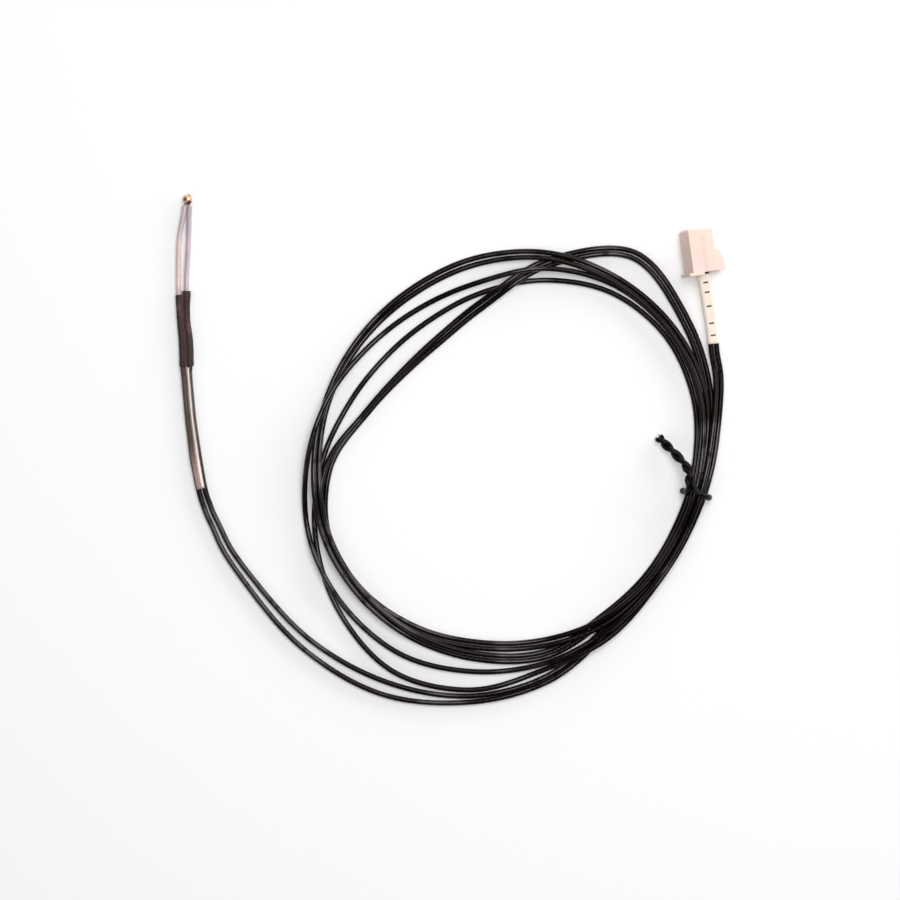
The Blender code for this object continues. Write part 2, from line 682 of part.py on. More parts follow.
def tie_points():
    """Twisted tail, loop round the bundle and twisted tail back as one route."""
    tail = spline(np.array(TIE_TAIL), np.linspace(0, len(TIE_TAIL) - 1, TAIL_STEPS))
    sides, ups = side_vectors(tail)
    strands = []
    for phase in (0.0, math.pi):
        strand = []
        for k in range(TAIL_STEPS):
            a = phase + 2 * math.pi * TWIST_TURNS * k / (TAIL_STEPS - 1)
            strand.append(tail[k] + TWIST_R * (math.cos(a) * sides[k] + math.sin(a) * ups[k]))
        strands.append(np.array(strand))
    start = np.array((*TIE_INNER, 0.0))
    ahead = np.array((*TIE_OUTER, 0.0)) - start
    ahead /= np.linalg.norm(ahead)
    aside = np.array((-ahead[1], ahead[0], 0.0))
    rows = [start + x * ahead + y * aside + np.array((0, 0, z)) for x, y, z in TIE_LOOP]
    loop = spline(np.array(rows), np.linspace(0, len(rows) - 1, 2 * len(rows) - 1))
    return np.vstack([strands[0][::-1], loop, strands[1]])


def main():
    clear_scene()
    glass = material("bead_glass", (0.62, 0.27, 0.12), 0.2)
    ceramic = material("chip_ceramic", (0.08, 0.07, 0.07), 0.6)
    bright = material("bright_lead", (0.62, 0.6, 0.56), 0.3, 1.0)
    clear = material("clear_sleeve", (0.86, 0.74, 0.72), 0.35)
    shrink = material("shrink_tube", (0.055, 0.04, 0.035), 0.7)
    smoke = material("smoke_sleeve", (0.16, 0.09, 0.08), 0.25)
    black = material("wire_black", (0.012, 0.011, 0.011), 0.4)
    cream = material("housing_nylon", (0.84, 0.68, 0.61), 0.45)
    marker = material("marker_sleeve", (0.88, 0.76, 0.68), 0.5)
    tin = material("tinned_terminal", (0.7, 0.69, 0.66), 0.3, 1.0)
    tie = material("tie_black", (0.01, 0.01, 0.01), 0.25)

    at = drawn_stations()
    wires = strand_heights(at)
    tube("wire_a", wires[0], WIRE_R, black)
    tube("wire_b", wires[1], WIRE_R, black)

    bead(glass)
    bm = bmesh.new()
    half = LEAD_A_ROUTE[0][0] - BEAD_MID[0] - LEAD_DIA / 2 - FIT
    deep = CHIP_THICK / 2
    box_mesh(
        bm, (BEAD_MID[0] - half, BEAD_MID[1] - CHIP_WIDTH / 2, BEAD_MID[2] - deep),
        (BEAD_MID[0] + half, BEAD_MID[1] + CHIP_WIDTH / 2 - FIT, BEAD_MID[2] + deep))
    mesh_object("thermistor_chip", bm, ceramic)

    for key, route, rows in (("a", LEAD_A_ROUTE, SHRINK_A), ("b", LEAD_B_ROUTE, SHRINK_B)):
        fine = spline(np.array(route), np.linspace(0, len(route) - 1, 3 * len(route)))
        fine = fine[fine[:, 1] > LEAD_FOOT]
        tube("lead_" + key, fine, LEAD_DIA / 2, bright)
        round_sleeve(
            "sleeve_" + key, between(route, SLEEVE_TOP, SLEEVE_FOOT, 15),
            lambda y: SLEEVE_OD / 2, lambda y: SLEEVE_ID / 2, clear)
        splice("splice_" + key, route, bright)
        number = 0 if key == "a" else 1
        whole = route + [row[number] for row in HEAD_ROUTE[:4]]
        inside = max(SLEEVE_OD / 2, WIRE_R) + FIT
        ys, radii = np.array(rows[::-1]).T
        round_sleeve(
            "shrink_" + key, between(whole, rows[0][0], rows[-1][0], 14),
            lambda y: np.interp(y, ys, radii), lambda y: inside, shrink)

    pair_sleeve("outer_sleeve", wires, at, OUTER_SPAN, OUTER_WALL, OUTER_ARCH, smoke)
    pair_sleeve("marker_sleeve", wires, at, MARKER_SPAN, MARKER_WALL, 0.0, marker)
    housing(cream)
    terminal("terminal_a", 1, tin)
    terminal("terminal_b", -1, tin)
    tube("twist_tie", tie_points(), TIE_R, tie)


main()
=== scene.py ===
"""Bead thermistor on a coiled two-wire lead: finished pieces, materials and stage."""
import math

import bmesh
import bpy
import numpy as np
from bpy.props import FloatProperty, FloatVectorProperty, IntProperty, PointerProperty
from mathutils import Matrix, Vector


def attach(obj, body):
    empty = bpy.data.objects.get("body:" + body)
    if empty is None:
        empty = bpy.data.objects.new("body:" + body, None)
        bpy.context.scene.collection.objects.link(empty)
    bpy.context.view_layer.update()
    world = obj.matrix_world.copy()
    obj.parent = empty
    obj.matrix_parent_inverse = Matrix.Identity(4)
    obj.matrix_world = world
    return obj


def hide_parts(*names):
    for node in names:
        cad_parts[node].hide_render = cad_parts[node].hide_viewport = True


bl_info = {
    "name": "Bead thermistor",
    "version": (1, 0, 0),
    "blender": (4, 5, 0),
    "location": "3D View > Sidebar > Thermistor",
    "description": "Builds a bead thermistor with its coiled lead and crimp housing",
    "category": "Add Mesh",
}

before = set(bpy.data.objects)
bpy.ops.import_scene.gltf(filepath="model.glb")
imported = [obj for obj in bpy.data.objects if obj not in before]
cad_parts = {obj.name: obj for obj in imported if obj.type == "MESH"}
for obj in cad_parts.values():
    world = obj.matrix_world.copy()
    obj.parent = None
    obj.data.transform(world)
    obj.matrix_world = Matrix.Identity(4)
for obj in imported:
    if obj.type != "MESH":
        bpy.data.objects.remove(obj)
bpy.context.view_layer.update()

# Lengths in the route and shape tables are millimetres. Lamps and the floor are in metres.
MM = 0.001
BODY = "root"

WIRE_R = 0.57
WIRE_PITCH = 1.18          # between the middles of two strands that touch
WIRE_SLOPE = 0.13          # steepest climb of a strand over another
FIT = 0.03                 # clearance of a sleeve over what it holds
TIE_R = 0.45
TIE_LOW = TIE_R + 0.02

# How the strands are laid: in stations and millimetres
LAID_STEP = 0.25           # between two places where a strand's height is worked out
SAME_STRETCH = 8.0         # nearer than this along its own wire, a strand doesn't rest on itself
CLOSE_ENOUGH = 0.01        # the laying stops when no strand is further than this inside another
LIFT_SHARE = 0.7           # share of the missing height that each round gives
ROWS_AT_ONCE = 300         # places compared with all others in one step, to save memory
TIED_FROM, TIED_TO = 275, 85   # degrees round the coil where the bundle is held tight

# The pair's route: wire a, then wire b. Head stations are (x, y, z).
HEAD_ROUTE = [
    ((-0.63, 0.73, 0.84), (-2.12, 0.73, 0.67)),
    ((-0.47, -2.19, 0.84), (-1.98, -2.19, 0.67)),
    ((-0.43, -5.10, 0.82), (-1.91, -5.10, 0.67)),
    ((-0.49, -6.71, 0.70), (-1.70, -6.83, 0.70)),
    ((-0.15, -10.88, 0.69), (-1.36, -11.00, 0.69)),
    ((0.32, -15.87, 0.69), (-0.89, -16.01, 0.69)),
    ((0.91, -20.01, 0.69), (-0.38, -20.20, 0.69)),
    ((1.60, -24.57, 0.69), (0.20, -24.81, 0.69)),
    ((2.69, -30.58, 0.69), (1.43, -30.88, 0.69)),
    ((3.80, -34.03, 0.62), (2.49, -34.51, 0.62)),
    ((5.33, -37.50, WIRE_R), (4.01, -38.12, WIRE_R)),
]
# Coil: radii of wires a and b about the coil's middle, every 20 degrees from 200 on.
COIL_MID = (66.69, -25.73)
COIL_FROM = 200
COIL_STEP = 20
ARRIVING = [
    (60.04, 61.79), (55.81, 58.15), (52.25, 55.00), (48.88, 50.17),
    (44.42, 45.60), (38.96, 40.12), (37.27, 38.46), (37.62, 38.81),
]
FIRST_TURN = [
    (39.29, 40.48), (42.88, 44.08), (46.45, 47.70), (49.90, 51.20), (42.05, 43.43), (33.50, 34.85),
    (29.65, 30.84), (29.38, 30.15), (31.92, 32.42), (37.62, 38.62), (40.75, 41.90), (40.60, 41.79),
    (39.13, 40.29), (37.54, 38.74), (37.03, 38.23), (37.15, 38.35), (37.27, 37.88), (37.62, 38.21),
]
SECOND_TURN = [
    (39.23, 39.88), (41.71, 42.90), (43.06, 44.25), (43.58, 44.77), (43.61, 44.82), (42.45, 43.80),
    (41.08, 42.29), (40.50, 41.45), (40.38, 41.10), (40.21, 41.30), (40.77, 41.96), (40.75, 41.94),
    (40.46, 41.65), (39.94, 41.14), (39.43, 40.63), (36.63, 37.81), (36.08, 36.69), (36.40, 37.00),
]
THIRD_TURN = [
    (38.00, 38.60), (40.29, 41.48), (41.79, 42.96), (41.46, 43.12), (39.10, 41.50), (36.45, 38.68),
    (34.70, 37.93), (34.66, 38.66), (36.35, 40.70), (39.75, 42.75), (43.60, 44.85), (47.17, 45.71),
    (49.65, 45.73), (47.58, 43.73), (42.96, 41.77), (41.12, 39.67), (39.04, 38.46), (39.42, 38.83),
]
LEAVING = [(41.78, 40.64), (46.38, 45.18)]
# From the coil to the housing: (x, y, z) of both wires. The terminals give the rest.
HOUSING_ROUTE = [
    ((109.40, -2.19, 1.15), (108.23, -2.31, 1.15)),
    ((108.88, 2.27, 1.55), (107.71, 2.10, 1.55)),
    ((107.92, 8.75, 2.40), (106.67, 8.54, 2.52)),
    ((107.22, 13.33, 2.86), (105.85, 13.12, 3.22)),
]
CRIMPED_AT = (1.9, 3.6)    # v of the wires' last two stations
COIL_ROWS = ARRIVING + FIRST_TURN + SECOND_TURN + THIRD_TURN + LEAVING
COIL_AT = len(HEAD_ROUTE)
LEAVE_AT = COIL_AT + len(COIL_ROWS)
LEAVE_EASE = 0.5           # stations over which the wires leave the coil's heights
LAST_AT = LEAVE_AT + len(HOUSING_ROUTE) + len(CRIMPED_AT) - 1
OUTER_SPAN = (2.15, 7.98)
OUTER_WALL = 0.07
OUTER_ARCH = 0.10
MARKER_SPAN = (LEAVE_AT + 0.38, LEAVE_AT + 3.2)
MARKER_WALL = 0.09
PAIR_RIM = 0.025           # rounding at the ends of the sleeves over both wires
PAIR_RINGS = 14            # rings of such a sleeve for each station
BARS_FROM = 0.16           # the first bar and the way to the last, as shares of the marker sleeve
BARS_OVER = 0.70
BAR_LENGTH = 1.05
BAR_HEIGHT = 0.03

# Middles of the leads and their sleeves, tip first.
LEAD_A_ROUTE = [
    (-0.45, 29.52, 0.96), (-0.44, 28.33, 0.95), (-0.53, 27.20, 0.92), (-0.60, 26.15, 0.87),
    (-0.63, 24.27, 0.80), (-0.69, 21.15, 0.72), (-0.79, 19.06, 0.68), (-1.02, 14.90, 0.72),
    (-1.13, 11.10, 0.88), (-1.16, 8.96, 0.88), (-1.18, 7.40, 0.82), (-1.01, 3.90, 0.76),
]
LEAD_B_ROUTE = [
    (-1.35, 29.52, 0.96), (-1.52, 28.33, 0.95), (-1.63, 27.20, 0.92), (-1.79, 26.15, 0.87),
    (-2.16, 24.27, 0.80), (-2.44, 22.80, 0.74), (-2.67, 20.94, 0.68), (-2.79, 18.00, 0.66),
    (-2.82, 12.81, 0.66), (-2.79, 10.70, 0.67), (-2.70, 8.96, 0.67), (-2.64, 7.40, 0.67),
    (-2.40, 3.90, 0.67),
]
SLEEVE_TOP = 28.30
SLEEVE_FOOT = 7.70
SLEEVE_R = 0.53
SLEEVE_BORE = 0.26
SLEEVE_RIM = 0.04
SLEEVE_TINTS = ((0.74, 0.73, 0.77), (0.95, 0.90, 0.87))
# Outer radius of each shrink tube: (y, radius), top first
SHRINK_A = [
    (10.52, 0.87), (8.96, 0.867), (7.71, 0.793), (6.46, 0.726), (5.21, 0.706), (3.96, 0.706),
    (2.71, 0.757), (1.46, 0.79), (0.21, 0.824), (-2.29, 0.824), (-5.10, 0.80),
]
SHRINK_B = [(9.69, 0.66), (-5.10, 0.66)]
SHRINK_OVER = 0.03         # the film's own thickness over those radii, lost again at its rims
# Round a shrink tube, 0 is left, a quarter is up and a half is right: the span that gets a painted
# sheen, with painted shade outside it, and the side where it meets the other tube, which is painted
# lighter against the shade there.
SHRINK_SHEEN_SPANS = ((0.10, 0.64), (-0.14, 0.41))
SHRINK_SEAMS = (0.0, 0.5)
BEAD_MID = (-0.90, 29.62, 0.96)
BEAD_POLE = 0.03           # share of the half turn that is left off at each end of the bead
BEAD_TAPER = 0.05          # how much slimmer the bead is at its tip, and fuller at its foot
BEAD_HEIGHT = 0.98         # height as a share of the width
# Spots in the bead's glass, seen from above: (x, y), reach and colour. The two pale spots are
# painted highlights, the two darkest spots at the bead's foot are painted shade, and the others are
# tones of the glass.
BEAD_TONES_AND_PAINTED_LIGHT = (
    ((-1.20, 30.45), 0.55, (1.00, 0.76, 0.62)), ((-0.60, 30.42), 0.26, (0.36, 0.24, 0.18)),
    ((-1.44, 29.58), 0.50, (0.22, 0.075, 0.040)), ((-0.70, 29.80), 0.42, (1.00, 0.60, 0.45)),
    ((-1.22, 29.08), 0.40, (0.66, 0.34, 0.28)), ((-0.85, 28.78), 0.42, (0.17, 0.055, 0.040)),
    ((-0.36, 28.88), 0.60, (0.085, 0.030, 0.024)),
)

# Twist tie: from the twisted tail over the bundle, under it and back. The loop's rows are the
# distance along the tie's line, the distance to the tail's side of it, and the height.
TIE_INNER = (102.33, -31.14)
TIE_OUTER = (107.51, -32.45)
TIE_LOOP = [
    (1.60, 1.70, 5.05), (2.65, 0.60, 5.20), (3.45, 0.20, 5.15), (4.25, 0.05, 4.80),
    (4.90, 0.00, 4.00), (5.30, 0.00, 3.20), (5.45, 0.00, 2.40), (5.40, 0.00, 1.40),
    (4.95, 0.00, 0.70), (4.00, 0.00, TIE_LOW), (2.20, 0.00, TIE_LOW), (0.95, 0.00, TIE_LOW),
    (0.28, 0.00, 0.74), (-0.03, 0.00, 1.45), (0.02, 0.00, 2.20), (0.45, 0.05, 3.10),
    (0.75, 0.35, 4.20), (0.85, 1.00, 4.95),
]
TIE_TAIL = [
    (103.45, -28.90, 5.00), (103.35, -27.20, 4.50), (102.50, -25.60, 3.70), (101.05, -23.90, 2.70),
    (99.60, -22.40, 1.95), (98.30, -21.10, 1.40), (97.30, -20.05, 1.05),
]
TAIL_STEPS = 64
LOOP_STEPS = 6             # points for each row of the loop
# The coating swells at the bundle's two edges: by what share, how far, and above which height.
SWELL = 0.4
SWELL_REACH = 1.1
SWELL_FROM = 0.6
CORE_R = 0.27
CORE_FROM, CORE_BEND, CORE_TIP = -0.30, 0.45, 0.72   # along each strand, from its end

# Housing, in its own axes: u across, v towards the mating end, n out of the top face.
BODY_U = 5.5
BODY_V = 9.2
BODY_N = 4.6
HOUSING_FOOT = (105.97, 14.25)
HOUSING_TURN = math.radians(7.8)
HOUSING_ROLL = math.radians(22.0)
CONTACT_PITCH = 2.5
CAVITY_U = 1.95
CAVITY_N = 2.3
POCKET_U = 4.5
POCKET_DEPTH = 1.9
WING_N = 2.6
WING_RIM = [(2.1, 0.03), (2.1, 0.5), (1.87, 2.6), (1.4, 3.95), (0.5, 4.55)]
WING_TOP = 4.75
LIP_U = 1.0
LIP_V = (-0.55, 0.05)
LIP_N = 0.25
PANEL_U = 2.0
PANEL_N = 0.35
PANEL_TOP = 7.5
PANEL_INSET = 0.15
PANEL_RAMP = 1.1
PANEL_BURY = 0.1
BURY = 0.4
STAGGER = 0.03
WINDOW_U = 1.1
WINDOW_V = 2.4
WINDOW_AT = 4.6
END_CHAMFER = 0.45

# Camera: straight down, with 187.5 mm across the picture.
VIEW_MID = (53.77, -22.60)
VIEW_WIDTH = 187.5
VIEW_LEVEL = 0.8           # height at which the picture is that wide
LENS = 200.0
SENSOR = 36.0
# Lamps, aimed at the view's middle: width and height in metres, azimuth and elevation in
# degrees, and distance in metres.
LAMPS = {
    "key": (0.44, 0.44, 50.0, 74.0, 0.60),
    "low": (2.20, 0.40, 46.0, 15.0, 1.10),
    "fill": (1.20, 0.80, 215.0, 35.0, 1.10),
}
FLOOR_REACH = 3.0


class WireSettings(bpy.types.PropertyGroup):
    """Looks of the two wires."""

    colour: FloatVectorProperty(
        name="Insulation", description="Colour of the wires' insulation", subtype="COLOR", size=3,
        default=(0.0036, 0.0024, 0.0024), min=0, max=1)
    roughness: FloatProperty(
        name="Roughness", description="Gloss of the insulation, from mirror to matt", default=0.20,
        min=0, max=1)
    lay: FloatProperty(
        name="Strand lay", description="Length of one turn of the copper strands that show through",
        default=1.3 * MM, min=0.2 * MM, max=20 * MM, unit="LENGTH")
    sides: IntProperty(name="Sides", description="Faces round each wire", default=18, min=8, max=48)


class HeadSettings(bpy.types.PropertyGroup):
    """The bead, and the colours of the sleeves behind it."""

    glass: FloatVectorProperty(
        name="Bead", description="Colour of the glass bead", subtype="COLOR", size=3,
        default=(0.72, 0.30, 0.13), min=0, max=1)
    bead_width: FloatProperty(
        name="Bead width", description="Diameter of the bead", default=1.92 * MM, min=0.2 * MM,
        unit="LENGTH")
    bead_length: FloatProperty(
        name="Bead length", description="Length of the bead", default=2.46 * MM, min=0.2 * MM,
        unit="LENGTH")
    clear: FloatVectorProperty(
        name="Lead sleeves", description="Colour of the milky lead sleeves", subtype="COLOR",
        size=3, default=(0.73, 0.59, 0.60), min=0, max=1)
    shrink: FloatVectorProperty(
        name="Shrink tubes", description="Colour of the shrink tubes", subtype="COLOR", size=3,
        default=(0.048, 0.028, 0.025), min=0, max=1)
    smoke: FloatVectorProperty(
        name="Outer sleeve", description="Colour of the clear sleeve over the wires",
        subtype="COLOR", size=3, default=(0.30, 0.19, 0.16), min=0, max=1)


class HousingSettings(bpy.types.PropertyGroup):
    """The crimp housing and the marker sleeve."""

    nylon: FloatVectorProperty(
        name="Nylon", description="Colour of the moulded housing", subtype="COLOR", size=3,
        default=(0.85, 0.66, 0.58), min=0, max=1)
    edge: FloatProperty(
        name="Edge radius", description="Rounding of the moulded edges", default=0.10 * MM,
        min=0.01 * MM, unit="LENGTH")
    marker: FloatVectorProperty(
        name="Marker sleeve", description="Colour of the marker sleeve", subtype="COLOR", size=3,
        default=(0.92, 0.80, 0.68), min=0, max=1)
    bars: IntProperty(
        name="Marks", description="Number of short bars on the marker sleeve", default=5,
        min=0, max=12)
    bar_width: FloatProperty(
        name="Mark width", description="Width of each bar along the sleeve", default=0.34 * MM,
        min=0.05 * MM, unit="LENGTH")


class TieSettings(bpy.types.PropertyGroup):
    """The twist tie."""

    coating: FloatVectorProperty(
        name="Coating", description="Colour of the tie's coating", subtype="COLOR", size=3,
        default=(0.004, 0.003, 0.003), min=0, max=1)
    diameter: FloatProperty(
        name="Diameter", description="Diameter over the coating", default=1.02 * MM, min=0.2 * MM,
        unit="LENGTH")
    spread: FloatProperty(
        name="Twist radius", description="Distance of each strand from the twist's middle",
        default=0.50 * MM, min=0.1 * MM, unit="LENGTH")
    turns: FloatProperty(
        name="Turns", description="Turns of the twisted tail", default=2.0, min=0, max=12)


class StageSettings(bpy.types.PropertyGroup):
    """The floor and the lamps."""

    floor: FloatVectorProperty(
        name="Floor", description="Colour of the floor", subtype="COLOR", size=3,
        default=(0.9, 0.9, 0.9), min=0, max=1)
    key_power: FloatProperty(
        name="Key lamp", description="Power of the soft lamp high up on the right", default=2.5,
        min=0, unit="POWER")
    low_power: FloatProperty(
        name="Low lamp", description="Power of the wide lower lamp that draws the shadows out",
        default=12.5, min=0, unit="POWER")
    fill_power: FloatProperty(
        name="Fill lamp", description="Power of the wide lamp that opens the side in shade",
        default=2.2, min=0, unit="POWER")
    ambient: FloatProperty(
        name="Ambient", description="Strength of the even light", default=0.15, min=0, max=5)
    paper: FloatProperty(
        name="Paper", description="Light of its own that is seen on the floor", default=0.14,
        min=0, max=2)


# Shader maths

class Wire:
    """A socket that takes part in plain expressions; each step adds one Math node."""

    def __init__(self, tree, socket):
        self.tree = tree
        self.socket = socket

    def maths(self, operation, *values):
        node = self.tree.nodes.new("ShaderNodeMath")
        node.operation = operation
        for place, value in enumerate(values):
            if isinstance(value, Wire):
                self.tree.links.new(value.socket, node.inputs[place])
            else:
                node.inputs[place].default_value = value
        return Wire(self.tree, node.outputs[0])

    def __add__(self, other):
        return self.maths("ADD", self, other)

    __radd__ = __add__

    def __sub__(self, other):
        return self.maths("SUBTRACT", self, other)

    def __rsub__(self, other):
        return self.maths("SUBTRACT", other, self)

    def __mul__(self, other):
        return self.maths("MULTIPLY", self, other)

    __rmul__ = __mul__

    def sin(self):
        return self.maths("SINE", self)

    def abs(self):
        return self.maths("ABSOLUTE", self)

    def ramp(self, low, high):
        """0 below low, 1 above high, smooth between them."""
        node = self.tree.nodes.new("ShaderNodeMapRange")
        node.interpolation_type = "SMOOTHSTEP"
        self.tree.links.new(self.socket, node.inputs["Value"])
        node.inputs["From Min"].default_value = low
        node.inputs["From Max"].default_value = high
        return Wire(self.tree, node.outputs["Result"])


class Finish:
    """One material and the nodes that make its finish."""

    def __init__(self, name):
        self.material = bpy.data.materials.new(name)
        self.material.use_nodes = True
        self.tree = self.material.node_tree
        self.shader = self.tree.nodes["Principled BSDF"]
        self.output = self.tree.nodes["Material Output"]

    def node(self, kind, settings=None, values=None, output=0):
        """Add a node: its settings first, then the values or links of its sockets."""
        made = self.tree.nodes.new(kind)
        for key, value in (settings or {}).items():
            setattr(made, key, value)
        for key, value in (values or {}).items():
            socket = made.inputs[key]
            if isinstance(value, Wire):
                self.tree.links.new(value.socket, socket)
            else:
                socket.default_value = value
        return Wire(self.tree, made.outputs[output])

    def place(self, scale=(1, 1, 1)):
        """Where a point lies in the shared frame, stretched by the scale."""
        where = self.node("ShaderNodeTexCoord", output="Object")
        return self.node("ShaderNodeMapping", values={"Vector": where, "Scale": scale})

    def along(self):
        """The piece's own UV map: metres along it, and its share of the way round."""
        where = self.node("ShaderNodeUVMap", {"uv_map": "along"})
        return [self.node("ShaderNodeSeparateXYZ", values={"Vector": where}, output=axis)
                for axis in ("X", "Y")]

    def noise(self, where, scale, detail=3.0, rough=0.5):
        """Cloudy pattern from 0 to 1, with the scale in patches a metre."""
        return self.node("ShaderNodeTexNoise", values={
            "Vector": where, "Scale": scale, "Detail": detail, "Roughness": rough})

    def mix(self, factor, first, second):
        """The first colour where the factor is 0, the second where it is 1."""
        made = self.tree.nodes.new("ShaderNodeMix")
        made.data_type = "RGBA"
        for key, value in ((0, factor), (6, first), (7, second)):
            if isinstance(value, Wire):
                self.tree.links.new(value.socket, made.inputs[key])
            elif key == 0:
                made.inputs[key].default_value = value
            else:
                made.inputs[key].default_value = (*value, 1.0) if len(value) == 3 else value
        return Wire(self.tree, made.outputs[2])

    def bump(self, height, distance, strength=1.0):
        """Unevenness of the surface, at most the distance in metres deep."""
        return self.node(
            "ShaderNodeBump", values={"Height": height, "Distance": distance, "Strength": strength})

    def set(self, **sockets):
        """Give the finish its values or links, named as on the shader."""
        for key, value in sockets.items():
            socket = self.shader.inputs[key.replace("_", " ").title().replace("Ior", "IOR")]
            if isinstance(value, Wire):
                self.tree.links.new(value.socket, socket)
            elif hasattr(value, "__len__") and len(value) == 3 and socket.type == "RGBA":
                socket.default_value = (*value, 1.0)
            else:
                socket.default_value = value
        return self.material


def shade(colour, factor):
    """The colour made lighter or darker."""
    return tuple(min(1.0, part * factor) for part in colour)


def tinted(colour, tint):
    """The colour seen through a tint."""
    return tuple(part * share for part, share in zip(colour, tint))


def insulation(settings):
    """Thin black insulation: the strands inside break its gloss into short dashes."""
    finish = Finish("wire_insulation")
    along, around = finish.along()
    where = finish.place()
    lay = (along * (2 * math.pi / settings.lay) + around * (4 * math.pi)).sin()
    patch = finish.noise(where, 260.0, 2.0).ramp(0.42, 0.62)
    fine = finish.noise(where, 2600.0, 2.0)
    height = lay * patch * 0.45 + fine * 0.12
    dust = finish.noise(where, 900.0, 4.0).ramp(0.60, 0.78)
    colour = finish.mix(dust * 0.5, settings.colour, shade(settings.colour, 3.0))
    zones = finish.noise(where, 48.0, 1.0).ramp(0.49, 0.57)
    gloss = zones * finish.noise(where, 350.0, 2.0).ramp(0.30, 0.50)
    rough = finish.noise(where, 420.0, 3.0) * 0.12 + (settings.roughness - 0.06)
    return finish.set(
        base_color=colour, roughness=rough, normal=finish.bump(height, 0.05 * MM, 0.7),
        specular_ior_level=0.15, specular_tint=(1.0, 0.82, 0.78), coat_weight=gloss * 0.8,
        coat_roughness=0.12, coat_tint=(1.0, 0.86, 0.82))


def bead_glass(settings):
    """Copper-brown glass with bright flakes just under the surface."""
    finish = Finish("bead_glass")
    where = finish.place()
    flakes = finish.node("ShaderNodeTexVoronoi", {"feature": "F1"}, {
        "Vector": where, "Scale": 4200.0}, output="Color")
    flake = finish.node("ShaderNodeSeparateColor", values={"Color": flakes})
    spark = flake.ramp(0.62, 0.80)
    cloud = finish.noise(where, 1400.0, 3.0).ramp(0.35, 0.7)
    colour = finish.mix(cloud, shade(settings.glass, 0.62), shade(settings.glass, 1.15))
    colour = finish.mix(spark, colour, (1.0, 0.80, 0.62))
    level = finish.place(scale=(1, 1, 0))
    # Spots of the glass's own tone, painted highlights and painted shade, placed as seen from
    # above.
    for (x, y), reach, tone in BEAD_TONES_AND_PAINTED_LIGHT:
        near = finish.node("ShaderNodeVectorMath", {"operation": "DISTANCE"},
                           {0: level, 1: (x * MM, y * MM, 0)}, output="Value")
        colour = finish.mix(1 - near.ramp(reach * 0.45 * MM, reach * MM), colour, tone)
    return finish.set(
        base_color=colour, metallic=spark * 0.7 + 0.1, roughness=0.30 - spark * 0.12,
        normal=finish.bump(flake * 0.6 + cloud, 0.06 * MM, 0.8), coat_weight=0.3,
        coat_roughness=0.15)


def milky_sleeve(settings, key, tint):
    """Milky tube with faint draw lines, hazier near the bead, painted lighter on its shaded side,
    and darker towards its foot.
    """
    finish = Finish("milky_sleeve_" + key)
    clear = tinted(settings.clear, tint)
    along, around = finish.along()
    where = finish.place()
    lines = (around * (2 * math.pi * 9)).sin()
    drift = finish.noise(where, 500.0, 2.0)
    pink = finish.mix(drift.ramp(0.35, 0.65), clear, shade(clear, 1.12))
    # Painted light: the side away from the lamps, left and underneath, is painted lighter against
    # its shade.
    lit_side = around.ramp(0.02, 0.20) * (1 - around.ramp(0.62, 0.98))
    pink = finish.mix(lit_side, shade(clear, 1.20), pink)
    haze = 1 - along.ramp(4.5 * MM, 7.5 * MM)
    pink = finish.mix(haze, pink, tinted(clear, (0.86, 0.90, 0.96)))
    # Darker towards the foot, where the sleeve runs into the shrink tube.
    foot = along.ramp(16.5 * MM, 20.5 * MM)
    colour = finish.mix(foot * 0.65, pink, (0.30, 0.24, 0.23))
    return finish.set(
        base_color=colour, roughness=drift * 0.2 + 0.22, ior=1.38,
        normal=finish.bump(lines * 0.3 + drift, 0.03 * MM, 0.4), coat_weight=0.4,
        coat_roughness=0.08)


def shrink_film(settings, key, sheen_span, seam):
    """Matt dark shrink tube, with a patchy painted sheen along its crest, painted shade on its
    sides, and painted light where it meets the other tube.
    """
    finish = Finish("shrink_film_" + key)
    _, around = finish.along()
    low, high = sheen_span
    where = finish.place()
    wrinkle = finish.noise(finish.place(scale=(1.0, 2.6, 1.0)), 700.0, 4.0, 0.6)
    sheen_patches = finish.noise(where, 380.0, 3.0).ramp(0.5, 0.72)
    # Painted sheen: the crest is painted paler in patches, and the sides outside it are painted
    # darker as shade.
    painted_sheen = around.ramp(low, low + 0.12) * (1 - around.ramp(high - 0.10, high))
    colour = finish.mix(
        painted_sheen * (sheen_patches * 0.6 + 0.4), shade(settings.shrink, 0.2), shade(settings.shrink, 2.0))
    # Painted light where the two tubes meet, against the shade between them.
    apart = (around - 0.5).abs()
    inner = 1 - (apart if seam else 0.5 - apart).ramp(0.06, 0.18)
    colour = finish.mix(inner, colour, shade(settings.shrink, 5.0))
    return finish.set(
        base_color=colour, roughness=wrinkle * 0.25 + 0.34, specular_ior_level=0.22,
        normal=finish.bump(wrinkle, 0.12 * MM, 0.7))


def smoke_film(settings, length):
    """Clear glossy film over the black wires, with a painted sheen along its top that grows paler
    and denser towards its open end, and a narrow painted highlight.
    """
    finish = Finish("smoke_film")
    along, around = finish.along()
    where = finish.place()
    pale = 1 - (along - length * MM).abs().ramp(2.0 * MM, 11.0 * MM)
    drift = finish.noise(where, 300.0, 2.0)
    # Painted sheen along the film's top, where more of the film's colour covers the black wires,
    # and a narrow painted highlight within it.
    painted_sheen = around.ramp(0.19, 0.23) * (1 - around.ramp(0.36, 0.45))
    painted_glint = around.ramp(0.196, 0.216) * (1 - around.ramp(0.240, 0.258))
    colour = finish.mix(painted_sheen * pale, settings.smoke, (0.66, 0.46, 0.40))
    colour = finish.mix(painted_glint * (drift * 0.3 + 0.7), colour, (0.84, 0.68, 0.61))
    return finish.set(
        base_color=colour, alpha=painted_sheen * (pale * 0.36 + 0.16) + painted_glint * 0.50 + 0.05,
        roughness=drift * 0.1 + 0.10, normal=finish.bump(drift, 0.05 * MM, 0.3), coat_weight=1.0,
        coat_roughness=0.05)


